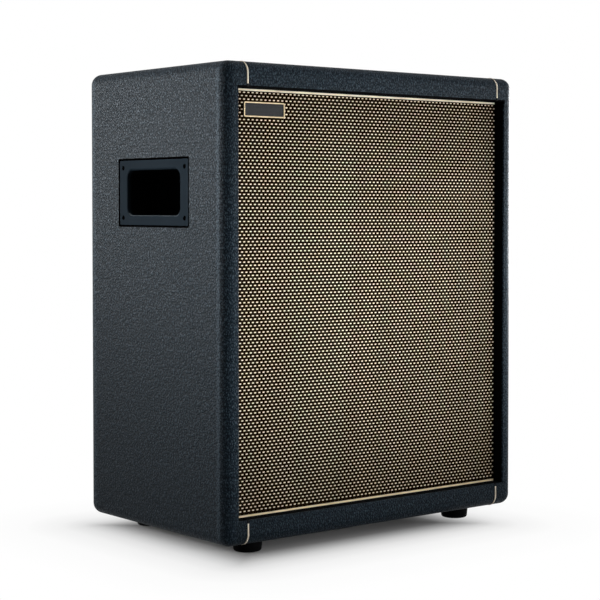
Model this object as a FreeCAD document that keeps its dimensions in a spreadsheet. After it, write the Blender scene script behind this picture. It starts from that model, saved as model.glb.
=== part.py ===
"""Guitar speaker cabinet with one twelve-inch driver, as a parametric FreeCAD document.

The frame is +Z up, -Y towards the player, origin on the floor under the middle of the cabinet.
Every length is in millimetres and sits in the sheet called dim, which code and expressions both read.
"""

import FreeCAD
import Part
import math
import os
import Sketcher
from FreeCAD import Placement, Rotation, Vector

SIZES = {
    # Covered cabinet, measured over the vinyl
    "body_width": 381,
    "body_depth": 240,
    "body_height": 454,
    "edge_radius": 11.2,
    "lip_radius": 1.2,
    "vinyl": 0.8,
    "side_panel": 14,
    "top_panel": 22.8,
    # Cream piping over the seams of the vinyl
    "piping_inset": 26,
    "piping_width": 2,
    "piping_proud": 0.4,
    "piping_turn": 2.2,
    "piping_round": 0.7,
    # Grille
    "grille_recess": 11,
    "grille_gap": 0.7,
    "cloth": 0.8,
    "grille_frame_depth": 12,
    "grille_rail": 28,
    "grille_edge_radius": 1.2,
    "cloth_turn": 20,
    "bead_width": 1.8,
    "bead_depth": 1.6,
    "bead_round": 0.7,
    "bead_inset": 0.3,
    "bead_end": 3.2,
    "tab_length": 50,
    "tab_width": 20,
    "tab_thick": 1.5,
    # Boards inside the case
    "board_gap": 0.5,
    "baffle": 15,
    "batten": 16,
    "back_board": 12,
    "back_recess": 3,
    # Wood screws
    "screw_shank": 4,
    "screw_head": 8,
    "screw_head_depth": 2.4,
    "screw_bite": 11,
    "screw_inset": 60,
    "hole_gap": 0.1,
    "foot_screw_bite": 14,
    # Side handles
    "handle_width": 119,
    "handle_height": 64,
    "handle_plate": 2.4,
    "handle_gap": 1.5,
    "handle_sink": 0.4,
    "handle_corner": 2,
    "handle_drop": 122,
    "handle_side_rim": 14.5,
    "handle_end_rim": 9.75,
    "handle_wall": 2.2,
    "pocket_depth": 44,
    "pocket_corner": 8,
    "pocket_lip": 2.4,
    "handle_screw_side": 6,
    "handle_screw_edge": 7.2,
    "handle_screw_head": 4.6,
    "handle_screw_shank": 2.6,
    "handle_screw_length": 12,
    # Rubber feet
    "foot_height": 13,
    "foot_top": 29.5,
    "foot_bottom": 27,
    "foot_edge": 2.4,
    "foot_recess": 13,
    "foot_web": 5,
    "foot_side_inset": 52,
    "foot_end_inset": 36,
    "washer_diameter": 12,
    "washer_thick": 1,
    # Driver, along its axis from the front of its flange
    "driver_margin": 3.7,
    "cutout_inset": 14,
    "bolt_inset": 6.5,
    "bolt_shank": 5,
    "bolt_head": 9,
    "bolt_head_depth": 3,
    "gasket": 3,
    "gasket_width": 12.5,
    "gasket_margin": 1,
    "sheet_steel": 1.5,
    "rim_inset": 19,
    "rim_thick": 0.8,
    "basket_step": 8,
    "basket_neck": 62,
    "basket_waist": 54,
    "basket_depth": 66,
    "basket_bore": 58,
    "window_gap": 2,
    "window_margin": 12,
    "window_corner": 7,
    "cone_inset": 26,
    "cone_front": 2,
    "cone_depth": 50,
    "cone_rib_inset": 12,
    "cone_rib_pitch": 9,
    "cone_rib_width": 4,
    "cone_rib_rise": 0.9,
    "paper": 0.8,
    "glue": 0.3,
    "surround_wave": 1.6,
    "coil_bore": 50,
    "former_wall": 0.4,
    "coil_gap": 0.1,
    "winding_wall": 1,
    "winding_length": 12,
    "former_front": 46,
    "former_tail": 1,
    "neck_gap": 0.1,
    "cap_diameter": 66,
    "cap_rise": 13,
    "spider_wave": 1.6,
    "spider_seat": 8,
    "front_plate": 8,
    "front_plate_diameter": 134,
    "magnet_diameter": 156,
    "magnet_bore": 62,
    "magnet": 20,
    "back_plate": 8,
    "pole_diameter": 49.2,
    "plate_bore": 54,
    "vent": 16,
    # Push-in threaded inserts for the driver bolts
    "insert_flange": 14,
    "insert_flange_thick": 1.3,
    "insert_barrel": 6.8,
    "insert_depth": 9,
    # Terminals and leads of the driver
    "bracket_width": 10,
    "bracket_length": 22,
    "board_width": 30,
    "board_length": 26,
    "board_thick": 1.6,
    "lug_width": 5,
    "lug_length": 20,
    "lug_thick": 0.8,
    "lug_spread": 10,
    "lead_radius": 0.6,
    "lead_join": 50,
    "wire_radius": 1.2,
    "link_radius": 0.7,
    # Jack dish and jacks in the back board
    "dish_width": 96,
    "dish_height": 66,
    "dish_plate": 2.4,
    "dish_corner": 6,
    "dish_drop": 117,
    "dish_rim": 10,
    "well_depth": 22,
    "well_corner": 5,
    "well_lip": 1,
    "dish_wall": 2.2,
    "dish_screw_inset": 5,
    "dish_screw_head": 6,
    "jack_spread": 34,
    "jack_bore": 6.5,
    "jack_bush": 9.4,
    "jack_bush_out": 5,
    "jack_width": 18,
    "jack_height": 20,
    "jack_length": 27,
    "jack_reach": 32,
    "nut_flats": 12.7,
    "nut_thick": 2.4,
    "jack_lug_length": 8,
    "jack_lug_width": 3,
    "jack_lug_rise": 5,
    # Overrun of every cutting tool past the face it starts from
    "overrun": 20,
}
FINGERS = 7
BOLTS = 8
WINDOWS = 8
CONE_RIBS = 3
SPIDER_WAVES = 5
SURROUND_WAVES = 2
FULL_TURN = 360
WINDOW_INNER_SHARE = 0.47
WINDOW_OUTER_SHARE = 0.53
CROWN_SHARE = 0.25
TAB_SHARE = 2 / 3
LINK_SHARE = 0.25
BEND_SHARE = 0.45
LEAVE_SHARE = 0.3
SWAY_SHARE = 0.12
RISE_SHARE = 0.5
TOLERANCE_SHARE = 0.01
SIDES = {"left": -1, "right": 1}
ENDS = {"front": -1, "rear": 1}

# What follows from the sizes: fitted sizes and shared places, as formulas over them
FITS = {
    "case_roof": "dim.foot_height + dim.body_height",
    "case_middle": "dim.foot_height + dim.body_height/2",
    "inner_x": "dim.body_width/2 - dim.vinyl - dim.side_panel",
    "inner_low": "dim.foot_height + dim.vinyl + dim.top_panel",
    "inner_high": "dim.foot_height + dim.body_height - dim.vinyl - dim.top_panel",
    "seam_x": "dim.body_width/2 - dim.piping_inset",
    "grille_x": "inner_x - dim.vinyl - dim.grille_gap",
    "grille_z": "(inner_high - inner_low)/2 - dim.vinyl - dim.grille_gap",
    # Planes from the front to the rear
    "front_plane": "-dim.body_depth/2",
    "cloth_front": "front_plane + dim.grille_recess",
    "grille_back": "cloth_front + 2*dim.cloth + dim.grille_frame_depth",
    "baffle_front": "grille_back + 2*dim.tab_thick",
    "baffle_back": "baffle_front + dim.baffle",
    "flange_front": "baffle_back + dim.gasket",
    "terminal_face": "flange_front + dim.basket_waist + 2*dim.sheet_steel",
    "back_face": "dim.body_depth/2 - dim.back_recess",
    "back_inner": "back_face - dim.vinyl - dim.back_board",
    "dish_face": "back_face + dim.dish_plate",
    "dish_floor": "dish_face - dim.well_depth",
    # Handles and jack dish
    "handle_level": "case_roof - dim.handle_drop",
    "pocket_width": "dim.handle_width - 2*dim.handle_side_rim",
    "pocket_height": "dim.handle_height - 2*dim.handle_end_rim",
    "handle_screw_span": "dim.handle_width - 2*dim.handle_screw_side",
    "handle_screw_rise": "dim.handle_height - 2*dim.handle_screw_edge",
    "dish_level": "case_middle - dim.dish_drop",
    "well_width": "dim.dish_width - 2*dim.dish_rim",
    "well_height": "dim.dish_height - 2*dim.dish_rim",
    "dish_screw_span": "dim.dish_width - 2*dim.dish_screw_inset",
    "dish_screw_rise": "dim.dish_height - 2*dim.dish_screw_inset",
    # The largest driver that the battens leave room for
    "driver_room": "2*min(inner_x; (inner_high - inner_low)/2)",
    "driver_diameter": "driver_room - 2*dim.batten - 2*dim.driver_margin",
    "driver_cutout": "driver_diameter - 2*dim.cutout_inset",
    "bolt_circle": "driver_diameter - 2*dim.bolt_inset",
    "gasket_bore": "driver_diameter - 2*dim.gasket_width",
    "rim_seat": "driver_diameter - 2*dim.rim_inset",
    "cone_diameter": "driver_diameter - 2*dim.cone_inset",
    "window_inner": "dim.basket_neck + dim.spider_seat + dim.window_gap",
    "window_outer": "rim_seat/2 - dim.window_margin",
    "former_outer": "dim.coil_bore/2 + dim.former_wall",
    "cone_neck": "former_outer + dim.neck_gap",
    "cone_slope": "(dim.cone_depth - dim.cone_front)/(cone_diameter/2 - cone_neck)",
}

doc = FreeCAD.newDocument("speaker_cabinet")


def sheet(name, cells):
    """A sheet with one named cell a row."""
    made = doc.addObject("Spreadsheet::Sheet", name)
    for row, (alias, value) in enumerate(cells.items(), start=1):
        made.set(f"A{row}", alias)
        made.set(f"B{row}", str(value))
        made.setAlias(f"B{row}", alias)
    doc.recompute()
    return made


dim = sheet("dim", SIZES)
fit = sheet("fit", {alias: f"={formula}" for alias, formula in FITS.items()})
ALONG_Y = Rotation(Vector(1, 0, 0), -90)
FACING = {
    "left": Rotation(Vector(0, -1, 0), Vector(0, 0, 1), Vector(-1, 0, 0), "ZYX"),
    "right": Rotation(Vector(0, 1, 0), Vector(0, 0, 1), Vector(1, 0, 0), "ZYX"),
    "rear": Rotation(Vector(-1, 0, 0), Vector(0, 0, 1), Vector(0, 1, 0), "ZYX"),
}
nodes = []


# Helpers


def bind(made, **texts):
    for prop, text in texts.items():
        made.setExpression(prop, text)
    return made


def move(made, x="0", y="0", z="0", turn=None):
    """Binds where the object's own origin sits."""
    if turn is not None:
        made.Placement = Placement(Vector(), turn)
    for axis, text in zip("xyz", (x, y, z)):
        made.setExpression(f".Placement.Base.{axis}", text)
    return made


def node(made, name):
    """Marks an object as one sub-part of the cabinet, under the name of its file."""
    made.Label = name
    nodes.append(made)
    return made


def box(name, x, y, z):
    """A box between pairs of expressions."""
    made = doc.addObject("Part::Box", name)
    bind(
        made,
        Length=f"({x[1]}) - ({x[0]})",
        Width=f"({y[1]}) - ({y[0]})",
        Height=f"({z[1]}) - ({z[0]})",
    )
    return move(made, x[0], y[0], z[0])


def cylinder(name, radius, height, x="0", y="0", z="0", turn=None):
    made = doc.addObject("Part::Cylinder", name)
    bind(made, Radius=radius, Height=height)
    return move(made, x, y, z, turn)


def fuse(name, *shapes):
    made = doc.addObject("Part::MultiFuse", name)
    made.Shapes = list(shapes)
    return made


def cut(name, base, *tools):
    made = doc.addObject("Part::Cut", name)
    made.Base = base
    made.Tool = tools[0] if len(tools) == 1 else fuse(f"{name}_tools", *tools)
    return made


def common(name, first, second):
    made = doc.addObject("Part::Common", name)
    made.Base = first
    made.Tool = second
    return made


def shaped(name, shape):
    made = doc.addObject("Part::Feature", name)
    made.Shape = shape
    return made


def copies(name, shape, places):
    """The same solid at several places, as one object."""
    solids = []
    for place in places:
        solid = shape.copy()
        solid.Placement = place
        solids.append(solid)
    return shaped(name, Part.makeCompound(solids))


def rounded(name, base, radius, chosen):
    """Rounds the edges of the base that the test picks."""
    doc.recompute()
    made = doc.addObject("Part::Fillet", name)
    made.Base = base
    edges = enumerate(base.Shape.Edges, start=1)
    made.Edges = [(index, radius, radius) for index, edge in edges if chosen(edge)]
    return made


def spread(edge, axis):
    """How far an edge reaches along one axis."""
    low, high = {
        "x": (edge.BoundBox.XMin, edge.BoundBox.XMax),
        "y": (edge.BoundBox.YMin, edge.BoundBox.YMax),
        "z": (edge.BoundBox.ZMin, edge.BoundBox.ZMax),
    }[axis]
    return low, high


def lies_at(edge, axis, level):
    """True if the whole edge is in the plane where the axis has that value."""
    low, high = spread(edge, axis)
    tolerance = dim.vinyl * TOLERANCE_SHARE
    return abs(low - level) < tolerance and abs(high - level) < tolerance


def sided(sign, inner, outer):
    """The span of x between two distances from the middle, on the left or the right."""
    return (f"-({outer})", f"-({inner})") if sign < 0 else (inner, outer)


def plane(body, role):
    return next(item for item in body.Origin.OriginFeatures if item.Role == role)


def polygon(body, name, points, role):
    """A closed sketch whose corners are bound to pairs of expressions."""
    sketch = body.newObject("Sketcher::SketchObject", name)
    sketch.AttachmentSupport = [(plane(body, role), "")]
    sketch.MapMode = "FlatFace"
    count = len(points)
    angles = [2 * math.pi * index / count for index in range(count)]
    start = [Vector(math.cos(angle), math.sin(angle), 0) for angle in angles]
    for index in range(count):
        following = (index + 1) % count
        sketch.addGeometry(Part.LineSegment(start[index], start[following]), False)
    for index in range(count):
        following = (index + 1) % count
        sketch.addConstraint(
            Sketcher.Constraint("Coincident", index, 2, following, 1)
        )
    for index, (across, along) in enumerate(points):
        for kind, text, now in (
            ("DistanceX", across, start[index].x),
            ("DistanceY", along, start[index].y),
        ):
            added = sketch.addConstraint(
                Sketcher.Constraint(kind, -1, 1, index, 1, now)
            )
            sketch.setExpression(f"Constraints[{added}]", text)
    return sketch


def rectangle(half_width, half_height):
    return [
        (f"-({half_width})", f"-({half_height})"),
        (half_width, f"-({half_height})"),
        (half_width, half_height),
        (f"-({half_width})", half_height),
    ]


def revolved(name, points, role="XY_Plane"):
    """A turned piece: the points are (radius, place along the axis)."""
    body = doc.addObject("PartDesign::Body", name)
    sketch = polygon(body, f"{name}_profile", points, role)
    turn = body.newObject("PartDesign::Revolution", f"{name}_turn")
    turn.Profile = sketch
    turn.ReferenceAxis = (sketch, ["V_Axis"])
    turn.Angle = FULL_TURN
    return body


def padded(name, points, length, role="XY_Plane", radius=None, both_ways=False):
    """A straight extrusion of an outline, with every edge rounded if a radius is given."""
    body = doc.addObject("PartDesign::Body", name)
    sketch = polygon(body, f"{name}_outline", points, role)
    pad = body.newObject("PartDesign::Pad", f"{name}_pad")
    pad.Profile = sketch
    pad.Midplane = both_ways
    bind(pad, Length=length)
    if radius is not None:
        doc.recompute()
        fillet = body.newObject("PartDesign::Fillet", f"{name}_round")
        fillet.Base = (pad, [""])
        fillet.UseAllEdges = True
        bind(fillet, Radius=radius)
    return body


def screw(name, head, head_depth, shank, length, sunk=False):
    """A screw on +Z, with the underside of its head, or a sunk head's face, at the origin."""
    if sunk:
        profile = [
            ("0", "0"),
            (f"{head}/2", "0"),
            (f"{shank}/2", f"-({head} - {shank})/2"),
            (f"{shank}/2", f"-({length})"),
            ("0", f"-({length})"),
        ]
    else:
        profile = [
            ("0", head_depth),
            (f"{head}/2 - {head_depth}*{CROWN_SHARE}", head_depth),
            (f"{head}/2", f"{head_depth}/2"),
            (f"{head}/2", "0"),
            (f"{shank}/2", "0"),
            (f"{shank}/2", f"-({length})"),
            ("0", f"-({length})"),
        ]
    return revolved(name, profile, "XZ_Plane")


def bored(name, diameter, depth, places):
    """Cutting tools for round holes on -Z from each place, open past the face."""
    reach = depth + dim.overrun
    top = Vector(0, 0, dim.overrun)
    tool = Part.makeCylinder(diameter / 2 + dim.hole_gap, reach, top, Vector(0, 0, -1))
    return copies(name, tool, places)


def ring(radius, count, y, turn):
    """Places round the axis of the driver."""
    angles = [2 * math.pi * (index + 1 / 2) / count for index in range(count)]
    return [
        Placement(
            Vector(radius * math.cos(angle), y, fit.case_middle + radius * math.sin(angle)), turn
        )
        for angle in angles
    ]


# Case: three nested shells give the boards, their vinyl and the piping


def shell(name, grow):
    """The four-sided case, its faces standing off the bare boards by grow."""
    body = doc.addObject("PartDesign::Body", name)
    half_x = f"(dim.body_width/2 - dim.vinyl + {grow})"
    half_y = f"(dim.body_depth/2 - dim.vinyl + {grow})"
    half_z = f"(dim.body_height/2 - dim.vinyl + {grow})"
    sketch = polygon(
        body, f"{name}_outline", rectangle(half_x, half_z), "XZ_Plane"
    )
    pad = body.newObject("PartDesign::Pad", f"{name}_block")
    pad.Profile = sketch
    pad.Midplane = True
    bind(pad, Length=f"2*{half_y}")
    doc.recompute()
    edges = body.newObject("PartDesign::Fillet", f"{name}_edges")
    edges.Base = (pad, [""])
    edges.UseAllEdges = True
    bind(edges, Radius=f"dim.edge_radius - dim.vinyl + {grow}")
    hole_x = f"(fit.inner_x - {grow})"
    hole_z = f"((fit.inner_high - fit.inner_low)/2 - {grow})"
    sketch = polygon(body, f"{name}_hole", rectangle(hole_x, hole_z), "XZ_Plane")
    hole = body.newObject("PartDesign::Pocket", f"{name}_opening")
    hole.Profile = sketch
    hole.Type = "ThroughAll"
    hole.Midplane = True
    move(body, z="fit.case_middle")
    doc.recompute()
    level = hole.Shape.BoundBox.YMax
    reach = hole.Shape.BoundBox.XMax - dim.side_panel
    rim = [
        f"Edge{index}"
        for index, edge in enumerate(hole.Shape.Edges, start=1)
        if (lies_at(edge, "y", level) or lies_at(edge, "y", -level))
        and max(abs(value) for value in spread(edge, "x")) < reach + dim.vinyl
        and max(abs(value) for value in spread(edge, "z"))
        < hole.Shape.BoundBox.ZMax - dim.top_panel + dim.vinyl
    ]
    lips = body.newObject("PartDesign::Fillet", f"{name}_lips")
    lips.Base = (hole, rim)
    bind(lips, Radius=f"dim.lip_radius - dim.vinyl + {grow}")
    body.Tip = lips
    return body


bare = shell("bare_case", "0")
covered = shell("covered_case", "dim.vinyl")
beaded = shell("beaded_case", "(dim.vinyl + dim.piping_proud)")


def liner_gap(name, front_depth, rear_depth):
    """The inside of the case, where neither vinyl nor piping turns in."""
    return box(
        name,
        ("-fit.inner_x", "fit.inner_x"),
        (f"fit.front_plane + {front_depth}", f"dim.body_depth/2 - {rear_depth}"),
        ("fit.inner_low", "fit.inner_high"),
    )


def finger_boards():
    """The outlines of the two boards that run across, with the fingers that reach into the sides."""
    boards = {}
    depth = "(dim.body_depth - 2*dim.vinyl)"
    for name, low, high in (
        ("top", "fit.inner_high", "fit.case_roof"),
        ("bottom", "dim.foot_height", "fit.inner_low"),
    ):
        across = ("-fit.inner_x", "fit.inner_x")
        pieces = [box(f"{name}_middle", across, ("fit.front_plane", "-fit.front_plane"), (low, high))]
        for index in range(1, FINGERS, 2):
            start = f"-{depth}/2 + {depth}*{index}/{FINGERS}"
            pieces.append(
                box(
                    f"{name}_finger_{index}",
                    ("-dim.body_width/2", "dim.body_width/2"),
                    (start, f"{start} + {depth}/{FINGERS}"),
                    (low, high),
                )
            )
        boards[name] = fuse(f"{name}_outline", *pieces)
    return boards


finger = finger_boards()


def handle_places(side):
    """Screws of one handle, on -Z into the board."""
    face = SIDES[side] * (dim.body_width / 2 - dim.handle_sink)
    return [
        Placement(
            Vector(
                face,
                across * fit.handle_screw_span / 2,
                fit.handle_level + up * fit.handle_screw_rise / 2,
            ),
            FACING[side],
        )
        for across in (-1, 1)
        for up in (-1, 1)
    ]


def foot_places(z):
    return {
        f"foot_{end}_{side}": Vector(
            SIDES[side] * (dim.body_width / 2 - dim.foot_side_inset),
            ENDS[end] * (dim.body_depth / 2 - dim.foot_end_inset),
            z,
        )
        for end in ENDS
        for side in SIDES
    }


def handle_opening(side, name, half_y, half_z, inner):
    """A cut into one side of the case, as far in as the distance inner from the middle."""
    return box(
        f"{side}_{name}",
        sided(SIDES[side], inner, "dim.body_width/2 + dim.overrun"),
        (f"-({half_y})", half_y),
        (f"fit.handle_level - ({half_z})", f"fit.handle_level + {half_z}"),
    )


def handle_cuts(side):
    """The shallow seat of a handle's plate, which also trims the vinyl, and the hole for its cup."""
    seat = handle_opening(
        side,
        "handle_seat",
        "dim.handle_width/2 + dim.handle_gap",
        "dim.handle_height/2 + dim.handle_gap",
        "dim.body_width/2 - dim.handle_sink - dim.handle_plate",
    )
    hole = handle_opening(
        side,
        "handle_hole",
        "fit.pocket_width/2 + dim.handle_wall + dim.handle_gap",
        "fit.pocket_height/2 + dim.handle_wall + dim.handle_gap",
        "fit.inner_x - dim.overrun",
    )
    return seat, hole


handle_tools = {side: handle_cuts(side) for side in SIDES}
cup_holes = [hole for _, hole in handle_tools.values()]


def case_boards():
    """Finger-jointed plywood: two boards across and two sides."""
    for side, sign in SIDES.items():
        slab = box(
            f"{side}_slab",
            sided(sign, "fit.inner_x", "dim.body_width/2"),
            ("fit.front_plane", "-fit.front_plane"),
            ("dim.foot_height", "fit.case_roof"),
        )
        board = common(f"{side}_blank", bare, slab)
        holes = bored(
            f"{side}_handle_screw_holes",
            dim.handle_screw_shank,
            dim.handle_screw_length,
            handle_places(side),
        )
        panel = cut(
            f"{side}_panel",
            board,
            finger["top"],
            finger["bottom"],
            *handle_tools[side],
            holes,
        )
        node(panel, f"{side}_side_panel")
    node(common("top_board", bare, finger["top"]), "top_panel")
    down = Rotation(Vector(1, 0, 0), 180)
    holes = bored(
        "foot_screw_holes",
        dim.screw_shank,
        dim.foot_screw_bite,
        [Placement(place, down) for place in foot_places(dim.foot_height).values()],
    )
    node(cut("bottom_board", common("bottom_blank", bare, finger["bottom"]), holes), "bottom_panel")
    return holes


foot_holes = case_boards()


def covering():
    """Four sheets of vinyl, glued over the case and turned in at the front and the rear."""
    front_turn = "fit.baffle_front - fit.front_plane - dim.board_gap"
    rear_turn = "dim.back_recess - dim.board_gap"
    skin = cut(
        "vinyl_skin",
        covered,
        bare,
        liner_gap("vinyl_gap", f"({front_turn})", f"({rear_turn})"),
    )
    seam = "fit.seam_x"
    for side, sign in SIDES.items():
        region = box(
            f"{side}_cover_region",
            sided(sign, f"{seam} + dim.piping_width/2", "dim.body_width/2 + dim.overrun"),
            ("fit.front_plane - dim.overrun", "dim.overrun - fit.front_plane"),
            ("dim.foot_height - dim.overrun", "fit.case_roof + dim.overrun"),
        )
        sheet = common(f"{side}_cover_blank", skin, region)
        seat, _ = handle_tools[side]
        node(cut(f"{side}_cover", sheet, seat), f"covering_{side}")
    inner = f"({seam} - dim.piping_width/2)"
    for name, low, high in (
        ("top", "fit.case_middle", "fit.case_roof + dim.overrun"),
        ("bottom", "dim.foot_height - dim.overrun", "fit.case_middle"),
    ):
        region = box(
            f"{name}_cover_region",
            (f"-{inner}", inner),
            ("fit.front_plane - dim.overrun", "dim.overrun - fit.front_plane"),
            (low, high),
        )
        sheet = common(f"{name}_cover", skin, region)
        if name == "bottom":
            sheet = cut(f"{name}_cover_bored", sheet, foot_holes)
        node(sheet, f"covering_{name}")
        for side, sign in SIDES.items():
            piping(name, side, sign, seam, low, high)


def piping(name, side, sign, seam, low, high):
    """One cream bead in the seam between two sheets, from the grille opening over to the back."""
    line = f"({sign}*{seam})"
    strip = box(
        f"piping_strip_{name}_{side}",
        (f"{line} - dim.piping_width/2", f"{line} + dim.piping_width/2"),
        ("fit.front_plane - dim.overrun", "dim.overrun - fit.front_plane"),
        (low, high),
    )
    bead = cut(
        f"piping_blank_{name}_{side}",
        common(f"piping_run_{name}_{side}", beaded, strip),
        bare,
        liner_gap(f"piping_gap_{name}_{side}", "dim.piping_turn", "(dim.back_recess - dim.board_gap)"),
    )
    doc.recompute()
    boards = bare.Shape
    lift = dim.vinyl + dim.piping_proud

    def is_crest(edge):
        """Edges along the outside of the bead, as far off the boards as the bead is thick."""
        low, high = spread(edge, "x")
        place = edge.valueAt((edge.FirstParameter + edge.LastParameter) / 2)
        far = boards.distToShape(Part.Vertex(place))[0]
        return high - low < dim.hole_gap and far > lift - dim.hole_gap

    soft = rounded(f"piping_bead_{name}_{side}", bead, dim.piping_round, is_crest)
    node(soft, f"piping_{name}_{side}")


covering()


# Battens, baffle and back board


def batten_frame(name, low, high):
    """Four strips glued round the inside of the case."""
    side = "(fit.inner_x - dim.batten)"
    strips = [
        box(f"{name}_left", ("-fit.inner_x", f"-{side}"), (low, high), ("fit.inner_low", "fit.inner_high")),
        box(f"{name}_right", (side, "fit.inner_x"), (low, high), ("fit.inner_low", "fit.inner_high")),
        box(
            f"{name}_low",
            (f"-{side}", side),
            (low, high),
            ("fit.inner_low", "fit.inner_low + dim.batten"),
        ),
        box(
            f"{name}_high",
            (f"-{side}", side),
            (low, high),
            ("fit.inner_high - dim.batten", "fit.inner_high"),
        ),
    ]
    frame = doc.addObject("Part::Compound", f"{name}_strips")
    frame.Links = strips
    return frame


def board_screw_places(y, turn):
    """Screws round a board, into the middle of the battens behind it."""
    side = fit.inner_x - dim.batten / 2
    low = fit.inner_low + dim.batten / 2
    high = fit.inner_high - dim.batten / 2
    spots = []
    for z in (fit.inner_low + dim.screw_inset, fit.case_middle, fit.inner_high - dim.screw_inset):
        spots += [Vector(-side, y, z), Vector(side, y, z)]
    for x in (-(fit.inner_x - dim.screw_inset), fit.inner_x - dim.screw_inset):
        spots += [Vector(x, y, low), Vector(x, y, high)]
    return [Placement(spot, turn) for spot in spots]


def baffle_board():
    """The board that carries the driver, screwed to the front battens."""
    forward = Rotation(Vector(1, 0, 0), 90)
    places = board_screw_places(fit.baffle_front, forward)
    length = dim.baffle + dim.screw_bite
    holes = bored("baffle_screw_holes", dim.screw_shank, length, places)
    sinks = copies(
        "baffle_screw_sinks",
        Part.makeCone(
            dim.screw_head / 2 + dim.hole_gap,
            dim.screw_shank / 2 + dim.hole_gap,
            (dim.screw_head - dim.screw_shank) / 2,
            Vector(),
            Vector(0, 0, -1),
        ),
        places,
    )
    blank = box(
        "baffle_blank",
        ("-(fit.inner_x - dim.board_gap)", "fit.inner_x - dim.board_gap"),
        ("fit.baffle_front", "fit.baffle_back"),
        ("fit.inner_low + dim.board_gap", "fit.inner_high - dim.board_gap"),
    )
    mouth = cylinder(
        "driver_mouth",
        "fit.driver_cutout/2",
        "dim.baffle + 2*dim.overrun",
        y="fit.baffle_front - dim.overrun",
        z="fit.case_middle",
        turn=ALONG_Y,
    )
    seats = bored(
        "insert_holes",
        dim.insert_barrel,
        dim.baffle + dim.overrun,
        ring(fit.bolt_circle / 2, BOLTS, fit.baffle_front, forward),
    )
    node(cut("baffle_bored", blank, mouth, seats, holes, sinks), "baffle_board")
    battens = batten_frame("baffle_batten", "fit.baffle_back", "fit.baffle_back + dim.batten")
    node(cut("baffle_battens_bored", battens, holes, *cup_holes), "baffle_battens")
    doc.recompute()
    one = screw("baffle_screw", "dim.screw_head", "0", "dim.screw_shank", str(length), sunk=True)
    doc.recompute()
    node(copies("baffle_screw_set", one.Shape, places), "baffle_screws")


def back_board():
    """The closed back: a board covered in vinyl, screwed to the rear battens."""
    places = board_screw_places(fit.back_face, ALONG_Y)
    length = dim.vinyl + dim.back_board + dim.screw_bite
    holes = bored("back_screw_holes", dim.screw_shank, length, places)
    half_x = "(fit.inner_x - dim.vinyl - dim.board_gap)"
    low = "(fit.inner_low + dim.vinyl + dim.board_gap)"
    high = "(fit.inner_high - dim.vinyl - dim.board_gap)"
    well = box(
        "dish_hole",
        (
            "-(fit.well_width/2 + dim.dish_wall + dim.board_gap)",
            "fit.well_width/2 + dim.dish_wall + dim.board_gap",
        ),
        ("fit.back_inner - dim.overrun", "fit.back_face + dim.overrun"),
        (
            "fit.dish_level - (fit.well_height/2 + dim.dish_wall + dim.board_gap)",
            "fit.dish_level + fit.well_height/2 + dim.dish_wall + dim.board_gap",
        ),
    )
    dish_holes = bored(
        "dish_screw_holes", dim.handle_screw_shank, dim.handle_screw_length, dish_places()
    )
    board = box(
        "back_blank",
        (f"-{half_x}", half_x),
        ("fit.back_inner", "fit.back_face - dim.vinyl"),
        (low, high),
    )
    sheet = box(
        "back_sheet",
        (f"-{half_x}", half_x),
        ("fit.back_face - dim.vinyl", "fit.back_face"),
        (low, high),
    )
    node(cut("back_bored", board, well, holes, dish_holes), "back_panel")
    node(cut("back_sheet_bored", sheet, well, holes, dish_holes), "back_covering")
    battens = batten_frame("back_batten", "fit.back_inner - dim.batten", "fit.back_inner")
    node(cut("back_battens_bored", battens, holes, *cup_holes), "back_battens")
    one = screw(
        "back_screw", "dim.screw_head", "dim.screw_head_depth", "dim.screw_shank", str(length)
    )
    doc.recompute()
    node(copies("back_screw_set", one.Shape, places), "back_screws")


def dish_places():
    return [
        Placement(
            Vector(
                across * fit.dish_screw_span / 2,
                fit.dish_face,
                fit.dish_level + up * fit.dish_screw_rise / 2,
            ),
            ALONG_Y,
        )
        for across in (-1, 1)
        for up in (-1, 1)
    ]


baffle_board()
back_board()


# Grille


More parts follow.
